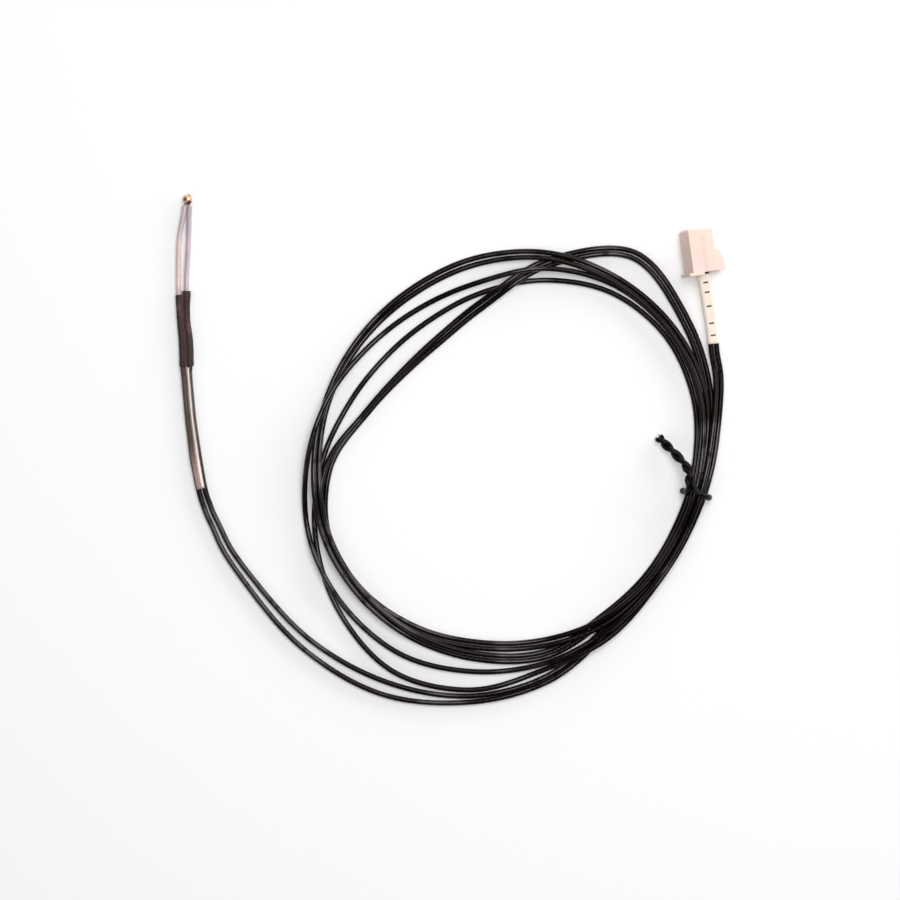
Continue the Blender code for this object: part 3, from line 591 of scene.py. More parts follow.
def moulded_nylon(settings):
    """Cream moulded nylon: fine grain, faint clouds and a little depth."""
    finish = Finish("moulded_nylon")
    where = finish.place()
    grain = finish.noise(where, 3200.0, 3.0)
    cloud = finish.noise(where, 260.0, 2.0).ramp(0.35, 0.7)
    colour = finish.mix(cloud, settings.nylon, shade(settings.nylon, 1.05))
    return finish.set(
        base_color=colour, roughness=grain * 0.2 + 0.34, normal=finish.bump(grain, 0.02 * MM, 0.5),
        subsurface_weight=0.12, subsurface_radius=(0.9 * MM, 0.5 * MM, 0.35 * MM),
        subsurface_scale=1.0)


def marker_film(settings):
    """Satin cream sleeve with a fine grain."""
    finish = Finish("marker_film")
    where = finish.place()
    grain = finish.noise(where, 1500.0, 3.0)
    cloud = finish.noise(where, 300.0, 2.0).ramp(0.3, 0.7)
    colour = finish.mix(cloud, settings.marker, shade(settings.marker, 1.05))
    return finish.set(
        base_color=colour, roughness=grain * 0.2 + 0.35, normal=finish.bump(grain, 0.02 * MM, 0.5),
        coat_weight=0.2, coat_roughness=0.2)


def marking_ink():
    """Dark ink, worn thin in places."""
    finish = Finish("marking_ink")
    fade = finish.noise(finish.place(), 2500.0, 3.0).ramp(0.3, 0.8)
    colour = finish.mix(fade, (0.03, 0.025, 0.025), (0.10, 0.085, 0.08))
    return finish.set(base_color=colour, roughness=0.5)


def bright_metal(name, colour, roughness):
    """Plated metal, a little dulled by its grain."""
    finish = Finish(name)
    grain = finish.noise(finish.place(), 3000.0, 3.0)
    return finish.set(
        base_color=finish.mix(grain, colour, shade(colour, 0.7)), metallic=1.0,
        roughness=grain * 0.15 + roughness, normal=finish.bump(grain, 0.02 * MM, 0.4))


def sintered(name):
    """Dark sintered ceramic."""
    finish = Finish(name)
    grain = finish.noise(finish.place(), 5000.0, 4.0)
    colour = finish.mix(grain, (0.05, 0.045, 0.045), (0.12, 0.11, 0.10))
    return finish.set(base_color=colour, roughness=grain * 0.2 + 0.6)


def tie_coating(settings):
    """Glossy black coating with shallow dents."""
    finish = Finish("tie_coating")
    dent = finish.noise(finish.place(), 900.0, 3.0)
    colour = finish.mix(dent.ramp(0.55, 0.75), settings.coating, shade(settings.coating, 3.0))
    return finish.set(
        base_color=colour, roughness=dent * 0.2 + 0.18, normal=finish.bump(dent, 0.06 * MM, 0.5),
        specular_ior_level=0.12)


# Route

def housing_matrix():
    """From the housing's own axes to the shared frame, resting on its lower edge."""
    roll, turn = HOUSING_ROLL, HOUSING_TURN
    across = Vector((
        math.cos(roll) * math.cos(turn), math.cos(roll) * math.sin(turn), -math.sin(roll)))
    ahead = Vector((-math.sin(turn), math.cos(turn), 0))
    out = across.cross(ahead)
    lift = BODY_U / 2 * math.sin(roll) + BODY_N / 2 * math.cos(roll)
    matrix = Matrix((across, ahead, out)).transposed().to_4x4()
    return Matrix.Translation(Vector((*HOUSING_FOOT, lift)) * MM) @ matrix


def crimped_stations():
    """Both wires' places inside the terminals."""
    matrix = housing_matrix()
    return [[matrix @ (Vector((side * CONTACT_PITCH / 2, v, 0)) * MM) / MM for side in (1, -1)]
            for v in CRIMPED_AT]


def spline(points, at):
    """Smooth curve through the points, read at the stations in the array at."""
    p = np.vstack([2 * points[0] - points[1], points, 2 * points[-1] - points[-2]])
    i = np.clip(np.floor(at).astype(int), 0, len(points) - 2)
    u = (at - i)[:, None]
    p0, p1, p2, p3 = p[i], p[i + 1], p[i + 2], p[i + 3]
    bend = 2 * p0 - 5 * p1 + 4 * p2 - p3
    return 0.5 * (2 * p1 + (p2 - p0) * u + bend * u ** 2 + (3 * p1 - p0 - 3 * p2 + p3) * u ** 3)


def plan(wire):
    """Plan position of every station of one wire."""
    rows = [row[wire][:2] for row in HEAD_ROUTE]
    for k, radii in enumerate(COIL_ROWS):
        angle = math.radians(COIL_FROM + COIL_STEP * k)
        x, y = COIL_MID
        rows.append((x + radii[wire] * math.cos(angle), y + radii[wire] * math.sin(angle)))
    rows += [row[wire][:2] for row in HOUSING_ROUTE + crimped_stations()]
    return np.array(rows, float)


def strand_order(wire, at):
    """Which strand lies over which: the higher number is the upper one."""
    turned = COIL_FROM + (at - COIL_AT) * COIL_STEP
    turn = np.floor(turned / 360.0)
    angle = turned - 360.0 * turn
    tied = (angle >= TIED_FROM) | (angle < TIED_TO)
    lap = np.clip(np.where(angle < TIED_TO, turn - 1, turn), 0, 3).astype(int)
    turn = np.clip(turn, 0, 3).astype(int)
    in_bundle = np.array([[0, 5, 1, 4], [0.5, 3, 2, 6]])
    in_open = np.array([[0.2, 1, 2, 0.1], [0.3, 1.5, 2.5, 3]])
    return np.where(tied, in_bundle[wire][lap], in_open[wire][turn])


def lay_strands(at, samples=6, rounds=90):
    """Both wires' routes, each strand resting on the floor or on what lies below it."""
    count = len(at)
    drawn = [spline(plan(wire), at) for wire in (0, 1)]
    run = [np.concatenate([[0], np.cumsum(np.hypot(*np.diff(xy, axis=0).T))]) for xy in drawn]
    part = np.tile((np.arange(samples) + 0.5) / samples, count - 1)
    chord = np.repeat(np.arange(count - 1), samples)
    place, along, order, owner, first, station = [], [], [], [], [], []
    for wire in (0, 1):
        start, stop = drawn[wire][chord], drawn[wire][chord + 1]
        place.append(start * (1 - part)[:, None] + stop * part[:, None])
        along.append(run[wire][chord] * (1 - part) + run[wire][chord + 1] * part)
        here = at[chord] * (1 - part) + at[chord + 1] * part
        station.append(here)
        order.append(strand_order(wire, here))
        owner.append(np.full(len(chord), wire))
        first.append(chord + wire * count)
    place = np.vstack(place)
    along, order, owner, first, station = map(np.concatenate, (along, order, owner, first, station))
    part = np.tile(part, 2)
    held = (station < COIL_AT) | (station > LEAVE_AT)

    # Outside the coil the heights are those of the head and the housing.
    height = np.full(2 * count, WIRE_R)
    for wire in (0, 1):
        own = slice(wire * count, (wire + 1) * count)
        known = [row[wire][2] for row in HEAD_ROUTE] + [WIRE_R] * len(COIL_ROWS)
        known += [row[wire][2] for row in HOUSING_ROUTE + crimped_stations()]
        outside = (at < COIL_AT) | (at > LEAVE_AT - LEAVE_EASE)
        height[own] = np.where(outside, np.interp(at, np.arange(len(known)), known), WIRE_R)

    # Every pair of places where one strand lies on another, and how far above it.
    upper, lower, rise = [], [], []
    for row in range(0, len(place), ROWS_AT_ONCE):
        block = slice(row, row + ROWS_AT_ONCE)
        apart = np.hypot(*(place[block, None] - place[None, :]).transpose(2, 0, 1))
        near = np.abs(along[block, None] - along[None, :]) < SAME_STRETCH
        same = (owner[block, None] == owner[None, :]) & near
        both_held = held[block, None] & held[None, :]
        crossing = (apart < WIRE_PITCH) & ~same & ~both_held & (order[block, None] > order[None, :])
        i, j = np.nonzero(crossing)
        upper.append(i + row)
        lower.append(j)
        rise.append(np.sqrt(WIRE_PITCH ** 2 - apart[i, j] ** 2))
    upper, lower, rise = map(np.concatenate, (upper, lower, rise))

    # Strands lie on the tie where it passes under them.
    tie_start = np.array(TIE_INNER)
    tie_run = np.array(TIE_OUTER) - tie_start
    share = np.clip(((place - tie_start) @ tie_run) / (tie_run @ tie_run), 0, 1)
    off = np.hypot(*(place - tie_start - share[:, None] * tie_run).T)
    reach = WIRE_R + TIE_R + 2 * FIT
    floor = np.where(off < reach, TIE_R + np.sqrt(np.clip(reach ** 2 - off ** 2, 0, None)), WIRE_R)

    for _ in range(rounds):
        now = height[first] * (1 - part) + height[first + 1] * part
        short = np.zeros(len(place))
        np.maximum.at(short, upper, now[lower] + rise - now[upper])
        short = np.maximum(short, floor - now)
        if short.max() < CLOSE_ENOUGH:
            break
        weight = (1 - part) ** 2 + part ** 2
        lift = np.zeros(len(height))
        np.maximum.at(lift, first, short * (1 - part) / weight)
        np.maximum.at(lift, first + 1, short * part / weight)
        height = height + LIFT_SHARE * lift
        for wire in (0, 1):
            own = slice(wire * count, (wire + 1) * count)
            fall = WIRE_SLOPE * run[wire]
            ahead = np.maximum.accumulate(height[own] + fall) - fall
            back = np.maximum.accumulate((height[own] - fall)[::-1])[::-1] + fall
            height[own] = np.maximum(ahead, back)
    heights = height.reshape(2, count)
    return [np.column_stack([drawn[wire], heights[wire]]) for wire in (0, 1)]


LAID = lay_strands(np.arange(0, LAST_AT + 0.001, LAID_STEP))


def laid_route(wire, finer=4):
    """Points of one wire from end to end, in millimetres."""
    at = np.arange(0.0, LAST_AT + 1e-6, LAID_STEP / finer)
    return spline(LAID[wire], at / LAID_STEP)


def read_route(route, top, foot, count):
    """Evenly read stretch of a head route between two values of y."""
    fine = spline(np.asarray(route, float), np.linspace(0, len(route) - 1, 600))
    ys = np.linspace(top, foot, count)
    return np.column_stack([np.interp(-ys, -fine[:, 1], fine[:, axis]) for axis in range(3)])


# Shapes

def side_vectors(points):
    """Level vectors to the side of a line, and the vectors that stand up from it."""
    heading = np.gradient(points, axis=0)
    heading /= np.linalg.norm(heading, axis=1)[:, None]
    side = np.cross(heading, (0.0, 0.0, 1.0))
    side /= np.linalg.norm(side, axis=1)[:, None]
    return side, np.cross(side, heading)


def add_object(name, mesh, material=None):
    """Put a mesh in the scene, with its material where one is given."""
    if material:
        give_finish(mesh, material)
    obj = bpy.data.objects.new(name, mesh)
    bpy.context.scene.collection.objects.link(obj)
    return obj


def give_finish(mesh, material):
    """Make a material the mesh's only one."""
    mesh.materials.clear()
    mesh.materials.append(material)


def finish_node(node, material):
    """Give a solid that is shown as it is its finish."""
    give_finish(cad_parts[node].data, material)


def swept(name, rings, material, closed_ends=True, closed_loop=False):
    """Skin over rings of points, with the UV map 'along'. Rings are in millimetres."""
    rings = np.asarray(rings, float)
    count, sides = rings.shape[:2]
    mids = rings.mean(axis=1)
    run = np.concatenate([[0], np.cumsum(np.linalg.norm(np.diff(mids, axis=0), axis=1))]) * MM
    last = count if closed_loop else count - 1
    k, j = np.meshgrid(np.arange(last), np.arange(sides), indexing="ij")
    k, j = k.ravel(), j.ravel()
    n, up = (j + 1) % sides, (k + 1) % count
    quads = np.column_stack([k * sides + j, k * sides + n, up * sides + n, up * sides + j])
    faces = [tuple(q) for q in quads.tolist()]
    uv = np.empty((len(quads), 4, 2))
    uv[:, 0] = np.column_stack([run[k], j / sides])
    uv[:, 1] = np.column_stack([run[k], (j + 1) / sides])
    uv[:, 2] = np.column_stack([run[up], (j + 1) / sides])
    uv[:, 3] = np.column_stack([run[up], j / sides])
    flat = uv.reshape(-1, 2).tolist()
    if closed_ends:
        faces.append(tuple(range(sides - 1, -1, -1)))
        faces.append(tuple(range((count - 1) * sides, count * sides)))
        flat += [[0.0, 0.5]] * sides + [[float(run[-1]), 0.5]] * sides
    mesh = bpy.data.meshes.new(name)
    mesh.from_pydata((rings.reshape(-1, 3) * MM).tolist(), [], faces)
    layer = mesh.uv_layers.new(name="along")
    layer.data.foreach_set("uv", np.array(flat, np.float32).ravel())
    mesh.polygons.foreach_set("use_smooth", [len(f) == 4 for f in faces])
    mesh.update()
    bm = bmesh.new()
    bm.from_mesh(mesh)
    bmesh.ops.recalc_face_normals(bm, faces=bm.faces)
    bm.to_mesh(mesh)
    bm.free()
    return add_object(name, mesh, material)


def ring_points(mids, sides, ups, outline):
    """Rings of an outline, a function of the ring's number that gives (side, up) offsets."""
    out = []
    for k in range(len(mids)):
        shape = np.asarray(outline(k))
        out.append(mids[k] + shape[:, :1] * sides[k] + shape[:, 1:] * ups[k])
    return np.array(out)


def circle(radius, sides):
    """Round outline; the radius may differ from side to side."""
    a = 2 * math.pi * np.arange(sides) / sides
    return np.column_stack([radius * np.cos(a), radius * np.sin(a)])


def rimmed(radius, rim, last, sides):
    """Outline of a round tube that is drawn in by rim at its first and last rings."""
    return lambda k: circle(radius - (rim if k in (0, last) else 0.0), sides)


def shrunk(mids, rows, phase, sides):
    """Outline of a shrink tube: the rows' radii with the soft ripples that shrinking leaves."""
    ys, radii = np.array(rows[::-1]).T
    last = len(mids) - 1
    a = 2 * math.pi * np.arange(sides) / sides

    def outline(k):
        share = k / last
        ripple = 0.014 * np.sin(37 * share + 2 * a) * np.sin(11 * share + 1.3)
        ripple += 0.008 * np.sin(83 * share - a + phase)
        over = 0.0 if k in (0, last) else SHRINK_OVER
        return circle(np.interp(mids[k][1], ys, radii) + over + ripple, sides)

    return outline


def oval(half_apart, radius, arch, sides):
    """Two half circles round a pair of wires, straight below and arched on top between them."""
    a = 2 * math.pi * (np.arange(sides) + 0.5) / sides
    shift = np.where(np.cos(a) > 0, half_apart, -half_apart)
    rim = np.column_stack([shift + radius * np.cos(a), radius * np.sin(a)])
    share = np.linspace(0.8, -0.8, 9)
    crown = np.column_stack([half_apart * share, radius + arch * (1 - share ** 2)])
    return np.vstack([rim[:sides // 4], crown, rim[sides // 4:]])


def sleeve_rings(mids, sides, ups, outer, inner):
    """Rings down the outside and back up the inside."""
    out = ring_points(mids, sides, ups, outer)
    back = ring_points(mids, sides, ups, inner)[::-1]
    return np.concatenate([out, back])


def pair_mids(span):
    """Middle line, side and up vectors and half distance of the two wires over a span."""
    at = np.linspace(*span, int((span[1] - span[0]) * PAIR_RINGS))
    a, b = (spline(LAID[wire], at / LAID_STEP) for wire in (0, 1))
    mids = (a + b) / 2
    apart = np.linalg.norm(a - b, axis=1)
    sides = (a - b) / apart[:, None]
    heading = np.gradient(mids, axis=0)
    heading /= np.linalg.norm(heading, axis=1)[:, None]
    ups = np.cross(sides, heading)
    ups /= np.linalg.norm(ups, axis=1)[:, None]
    ups[ups[:, 2] < 0] *= -1
    return mids, sides, ups, apart / 2


def pair_rings(span, wall, arch, count=56):
    """Rings of an oval sleeve over both wires."""
    mids, sides, ups, half = pair_mids(span)
    last = len(mids) - 1
    bore = WIRE_R + FIT

    def outer(k):
        return oval(half[k], bore + wall - (PAIR_RIM if k in (0, last) else 0.0), arch, count)

    return sleeve_rings(mids, sides, ups, outer, lambda k: oval(half[k], bore, arch, count))


def solid_tube(name, points, radius, material, sides):
    """Round tube along the points, closed at both ends."""
    side, up = side_vectors(points)
    return swept(name, ring_points(points, side, up, lambda k: circle(radius, sides)), material)


def finish_piece(obj, slot, *nodes):
    """Set a finished piece on its body, in place of the named solids, which are hidden; the slot is
    not used.
    """
    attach(obj, BODY)
    if nodes:
        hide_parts(*nodes)
    return obj


def bake(obj):
    """Turn a piece's live modifiers into its mesh."""
    depsgraph = bpy.context.evaluated_depsgraph_get()
    mesh = bpy.data.meshes.new_from_object(obj.evaluated_get(depsgraph))
    obj.modifiers.clear()
    obj.data = mesh
    mesh.name = obj.name
    return obj


# Geometry Nodes

def new_tree(name, inputs):
    """A node tree with the named inputs, and the sockets that give them."""
    tree = bpy.data.node_groups.new(name, "GeometryNodeTree")
    tree.interface.new_socket("Geometry", in_out="INPUT", socket_type="NodeSocketGeometry")
    for label, kind, default in inputs:
        socket = tree.interface.new_socket(label, in_out="INPUT", socket_type="NodeSocket" + kind)
        if default is not None:
            socket.default_value = default
    tree.interface.new_socket("Geometry", in_out="OUTPUT", socket_type="NodeSocketGeometry")
    return tree, tree.nodes.new("NodeGroupInput").outputs


def grow(tree, kind, settings=None, values=None, output=0):
    """Add a node, link or set its sockets, and give the output that is named."""
    made = tree.nodes.new(kind)
    for key, value in (settings or {}).items():
        setattr(made, key, value)
    for key, value in (values or {}).items():
        if isinstance(value, bpy.types.NodeSocket):
            tree.links.new(value, made.inputs[key])
        else:
            made.inputs[key].default_value = value
    return made.outputs[output]


def close_tree(tree, geometry, material):
    """End a tree in one real mesh with the material."""
    real = grow(tree, "GeometryNodeRealizeInstances", values={"Geometry": geometry})
    dressed = grow(tree, "GeometryNodeSetMaterial", values={"Geometry": real, "Material": material})
    end = tree.nodes.new("NodeGroupOutput")
    tree.links.new(dressed, end.inputs[0])
    return tree


def apply_tree(obj, tree, values):
    """Run the tree on the object with the values by socket name, and keep the result."""
    modifier = obj.modifiers.new(tree.name, "NODES")
    modifier.node_group = tree
    for item in tree.interface.items_tree:
        if item.item_type == "SOCKET" and item.in_out == "INPUT" and item.name in values:
            modifier[item.identifier] = values[item.name]
    return bake(obj)


def coated_wire_tree():
    """Round coated wire along a path, with slight dents that a fixed seed places."""
    tree, given = new_tree("coated_wire", [
        ("Radius", "Float", 0.5 * MM), ("Dent", "Float", 0.05), ("Seed", "Int", 3),
        ("Sides", "Int", 16), ("Coating", "Material", None)])
    noise = grow(tree, "ShaderNodeTexNoise", {"noise_dimensions": "4D"}, {
        "Scale": 900.0, "W": given["Seed"]})
    offset = grow(
        tree, "ShaderNodeMapRange", values={"Value": noise, "To Min": -1.0, "To Max": 1.0})
    dent = grow(tree, "ShaderNodeMath", {"operation": "MULTIPLY_ADD"}, {
        0: offset, 1: given["Dent"], 2: 1.0})
    thick = grow(
        tree, "GeometryNodeInputNamedAttribute", {"data_type": "FLOAT"}, {"Name": "thick"})
    profile = grow(tree, "GeometryNodeCurvePrimitiveCircle", values={
        "Radius": given["Radius"], "Resolution": given["Sides"]}, output="Curve")
    swept_wire = grow(tree, "GeometryNodeCurveToMesh", values={
        "Curve": grow(tree, "GeometryNodeMeshToCurve", values={0: given["Geometry"]}),
        "Profile Curve": profile,
        "Scale": grow(tree, "ShaderNodeMath", {"operation": "MULTIPLY"}, {0: dent, 1: thick}),
        "Fill Caps": True})
    smooth = grow(tree, "GeometryNodeSetShadeSmooth", values={0: swept_wire})
    return close_tree(tree, smooth, given["Coating"])


def marks_tree():
    """A short bar at every point of the input, turned by the stored axes."""
    tree, given = new_tree("sleeve_marks", [
        ("Length", "Float", 1.0 * MM), ("Width", "Float", 0.3 * MM), ("Height", "Float", 0.05 * MM),
        ("Ink", "Material", None)])
    size = grow(tree, "ShaderNodeCombineXYZ", values={
        0: given["Length"], 1: given["Width"], 2: given["Height"]})
    turn = grow(
        tree, "GeometryNodeInputNamedAttribute", {"data_type": "FLOAT_VECTOR"}, {"Name": "turn"})
    bars = grow(tree, "GeometryNodeInstanceOnPoints", values={
        "Points": given["Geometry"], "Rotation": turn,
        "Instance": grow(tree, "GeometryNodeMeshCube", values={"Size": size}, output="Mesh")})
    return close_tree(tree, bars, given["Ink"])


def path_object(name, points, thick):
    """Edges through the points, with the share of the full thickness at each."""
    mesh = bpy.data.meshes.new(name)
    steps = [(k, k + 1) for k in range(len(points) - 1)]
    mesh.from_pydata((np.asarray(points) * MM).tolist(), steps, [])
    shares = mesh.attributes.new("thick", "FLOAT", "POINT")
    shares.data.foreach_set("value", np.asarray(thick, np.float32))
    return add_object(name, mesh)


# Pieces

def closed_shape(name, bm):
    """Object of a working mesh, with its faces outwards."""
    bmesh.ops.recalc_face_normals(bm, faces=bm.faces)
    mesh = bpy.data.meshes.new(name)
    bm.to_mesh(mesh)
    bm.free()
    return add_object(name, mesh)


def block(name, low, high, bevel_end=0.0):
    """Box between two corners, with its far end chamfered by bevel_end."""
    bm = bmesh.new()
    for vert in bmesh.ops.create_cube(bm, size=1.0)["verts"]:
        for axis in range(3):
            middle = (low[axis] + high[axis]) / 2
            vert.co[axis] = (middle + vert.co[axis] * (high[axis] - low[axis])) * MM
    if bevel_end:
        end = [e for e in bm.edges if all(v.co.y > high[1] * MM * 0.99 for v in e.verts)]
        bmesh.ops.bevel(bm, geom=end, offset=bevel_end * MM, segments=1, affect="EDGES")
    return closed_shape(name, bm)


def plate(name, outline, low, high):
    """Flat plate of an outline between two heights."""
    bm = bmesh.new()
    bottom, top = (
        [bm.verts.new((u * MM, v * MM, n * MM)) for u, v in outline] for n in (low, high))
    bm.faces.new(bottom)
    bm.faces.new(top)
    for j in range(len(outline)):
        n = (j + 1) % len(outline)
        bm.faces.new((bottom[j], bottom[n], top[n], top[j]))
    return closed_shape(name, bm)


def shape_with(obj, tool, operation):
    """Join the tool to the object or cut it out, and remove the tool."""
    modifier = obj.modifiers.new(tool.name, "BOOLEAN")
    modifier.operation = operation
    modifier.solver = "EXACT"
    modifier.object = tool
    bake(obj)
    bpy.data.objects.remove(tool, do_unlink=True)


class THERMISTOR_OT_stage(bpy.types.Operator):
    """Make the camera, the lamps, the even light and the pale floor"""
    bl_idname = "thermistor.stage"
    bl_label = "Stage"

    def execute(self, context):
        settings = context.scene.thermistor_stage
        scene = context.scene
        scene.view_settings.view_transform = "Standard"
        camera = bpy.data.cameras.new("camera")
        camera.lens = LENS
        camera.sensor_width = SENSOR
        camera.clip_start = 0.01
        camera.clip_end = 10.0
        looking = bpy.data.objects.new("camera", camera)
        looking.location = Vector((*VIEW_MID, VIEW_WIDTH * LENS / SENSOR + VIEW_LEVEL)) * MM
        scene.collection.objects.link(looking)
        scene.camera = looking

        middle = Vector((*VIEW_MID, 0)) * MM
        for name, (wide, high, azimuth, elevation, distance) in LAMPS.items():
            lamp = bpy.data.lights.new(name + "_lamp", "AREA")
            lamp.energy = getattr(settings, name + "_power")
            lamp.shape = "RECTANGLE"
            lamp.size, lamp.size_y = wide, high
            holder = bpy.data.objects.new(name + "_lamp", lamp)
            a, e = math.radians(azimuth), math.radians(elevation)
            away = Vector((math.cos(a) * math.cos(e), math.sin(a) * math.cos(e), math.sin(e)))
            holder.location = middle + away * distance
            holder.rotation_mode = "QUATERNION"
            holder.rotation_quaternion = away.to_track_quat("Z", "Y")
            scene.collection.objects.link(holder)

        world = bpy.data.worlds.new("even_light")
        world.use_nodes = True
        even = world.node_tree.nodes["Background"]
        even.inputs["Color"].default_value = (1, 1, 1, 1)
        even.inputs["Strength"].default_value = settings.ambient
        scene.world = world

        floor = bpy.data.meshes.new("floor")
        ways = ((-1, -1), (1, -1), (1, 1), (-1, 1))
        corners = [(x * FLOOR_REACH, y * FLOOR_REACH, 0) for x, y in ways]
        floor.from_pydata(corners, [], [(0, 1, 2, 3)])
        finish = Finish("floor_paint")
        finish.set(base_color=settings.floor, roughness=0.9, specular_ior_level=0.0)
        paint = Wire(finish.tree, finish.shader.outputs[0])
        own_light = finish.node(
            "ShaderNodeEmission", values={"Color": (1, 1, 1, 1), "Strength": settings.paper})
        lit = finish.node("ShaderNodeAddShader", values={0: paint, 1: own_light})
        seen = 0.0
        for ray in ("Is Camera Ray", "Is Glossy Ray", "Is Transmission Ray"):
            seen = finish.node("ShaderNodeLightPath", output=ray) + seen
        both = finish.node("ShaderNodeMixShader", values={0: seen, 1: paint, 2: lit})
        finish.tree.links.new(both.socket, finish.output.inputs["Surface"])
        ground = add_object("floor", floor, finish.material)
        return {"FINISHED"}


class THERMISTOR_OT_wires(bpy.types.Operator):
    """Lay the two insulated wires of the lead along their coil"""
    bl_idname = "thermistor.wires"
    bl_label = "Lead wires"

    def execute(self, context):
        settings = context.scene.thermistor_wires
        coat = insulation(settings)
        for wire, key in enumerate("ab"):
            points = laid_route(wire)
            obj = solid_tube("lead_wire_" + key, points, WIRE_R, coat, settings.sides)
            finish_piece(obj, "wire_black", "wire_" + key)
        return {"FINISHED"}


class THERMISTOR_OT_bead(bpy.types.Operator):
    """Make the glass bead at the tip and finish the chip inside it"""
    bl_idname = "thermistor.bead"
    bl_label = "Glass bead"

    def execute(self, context):
        settings = context.scene.thermistor_head
        rings, sides = 36, 48
        half_long = settings.bead_length / 2 / MM
        half_wide = settings.bead_width / 2 / MM
        shape = []
        for k in range(rings + 1):
            a = math.pi * (BEAD_POLE + (1 - 2 * BEAD_POLE) * k / rings)
            b = 2 * math.pi * np.arange(sides) / sides
            uneven = 1.0 + 0.015 * np.sin(3 * b + 4 * a) + 0.012 * np.sin(5 * b - 7 * a)
            radius = half_wide * math.sin(a) * (1 - BEAD_TAPER * math.cos(a)) * uneven
            offsets = (radius * np.cos(b), np.full(sides, half_long * math.cos(a)),
                       radius * np.sin(b) * BEAD_HEIGHT)
            shape.append(np.column_stack(offsets) + BEAD_MID)
        obj = swept("bead", np.array(shape), bead_glass(settings))
        for face in obj.data.polygons:
            face.use_smooth = True
        finish_piece(obj, "bead_glass", "glass_bead")
        finish_node("thermistor_chip", sintered("chip_sinter"))
        return {"FINISHED"}


class THERMISTOR_OT_leads(bpy.types.Operator):
    """Finish the bright leads and the solder joints"""
    bl_idname = "thermistor.leads"
    bl_label = "Leads and splices"

    def execute(self, context):
        wire = bright_metal("tinned_lead", (0.62, 0.58, 0.55), 0.22)
        solder = bright_metal("solder", (0.60, 0.60, 0.60), 0.35)
        for key in "ab":
            finish_node("lead_" + key, wire)
            finish_node("splice_" + key, solder)
        return {"FINISHED"}


class THERMISTOR_OT_sleeves(bpy.types.Operator):
    """Make the milky lead sleeves, the shrink tubes and the clear outer sleeve"""
    bl_idname = "thermistor.sleeves"
    bl_label = "Head sleeves"

    def execute(self, context):
        settings = context.scene.thermistor_head
        sides = 40
        pairs = zip("ab", (LEAD_A_ROUTE, LEAD_B_ROUTE), (SHRINK_A, SHRINK_B))
        for number, (key, route, rows) in enumerate(pairs):
            mids = read_route(route, SLEEVE_TOP, SLEEVE_FOOT, 90)
            last = len(mids) - 1
            rings = sleeve_rings(
                mids, *side_vectors(mids), rimmed(SLEEVE_R, SLEEVE_RIM, last, sides),
                rimmed(SLEEVE_BORE, -SLEEVE_RIM, last, sides))
            milky = milky_sleeve(settings, key, SLEEVE_TINTS[number])
            obj = swept("milky_sleeve_" + key, rings, milky, False, True)
            finish_piece(obj, "clear_sleeve", "sleeve_" + key)

            whole = route + [row[number] for row in HEAD_ROUTE[:4]]
            mids = read_route(whole, rows[0][0], rows[-1][0], 120)
            rings = sleeve_rings(
                mids, *side_vectors(mids), shrunk(mids, rows, number, sides),
                lambda k: circle(WIRE_R + FIT, sides))
            film = shrink_film(settings, key, SHRINK_SHEEN_SPANS[number], SHRINK_SEAMS[number])
            obj = swept("shrink_tube_" + key, rings, film, False, True)
            finish_piece(obj, "shrink_tube", "shrink_" + key)

        rings = pair_rings(OUTER_SPAN, OUTER_WALL, OUTER_ARCH)
        mids = pair_mids(OUTER_SPAN)[0]
        length = float(np.linalg.norm(np.diff(mids, axis=0), axis=1).sum())
        obj = swept("clear_outer_sleeve", rings, smoke_film(settings, length), False, True)
        finish_piece(obj, "smoke_sleeve", "outer_sleeve")
        return {"FINISHED"}


class THERMISTOR_OT_marker(bpy.types.Operator):
    """Make the cream marker sleeve and its short plain bars"""
    bl_idname = "thermistor.marker"
    bl_label = "Marker sleeve"

    def execute(self, context):
        settings = context.scene.thermistor_housing
        rings = pair_rings(MARKER_SPAN, MARKER_WALL, 0.0)
        obj = swept("cream_marker", rings, marker_film(settings), False, True)
        finish_piece(obj, "marker_sleeve", "marker_sleeve")
        if not settings.bars:
            return {"FINISHED"}
        mids, sides, ups, _ = pair_mids(MARKER_SPAN)
        places, turns = [], []
        for k in range(settings.bars):
            share = BARS_FROM + BARS_OVER * k / max(1, settings.bars - 1)
            i = int(share * (len(mids) - 1))
            up, side = Vector(ups[i]), Vector(sides[i])
            places.append(tuple((Vector(mids[i]) + up * (WIRE_R + FIT + MARKER_WALL)) * MM))
            turns.append(tuple(Matrix((side, up.cross(side), up)).transposed().to_euler()))
        mesh = bpy.data.meshes.new("marks")
        mesh.from_pydata(places, [], [])
        stored = mesh.attributes.new("turn", "FLOAT_VECTOR", "POINT")
        stored.data.foreach_set("vector", np.ravel(turns))
        marks = add_object("marks", mesh)
        apply_tree(marks, marks_tree(), {
            "Length": BAR_LENGTH * MM, "Width": settings.bar_width, "Height": BAR_HEIGHT * MM,
            "Ink": marking_ink()})
        finish_piece(marks, "marker_sleeve")
        return {"FINISHED"}


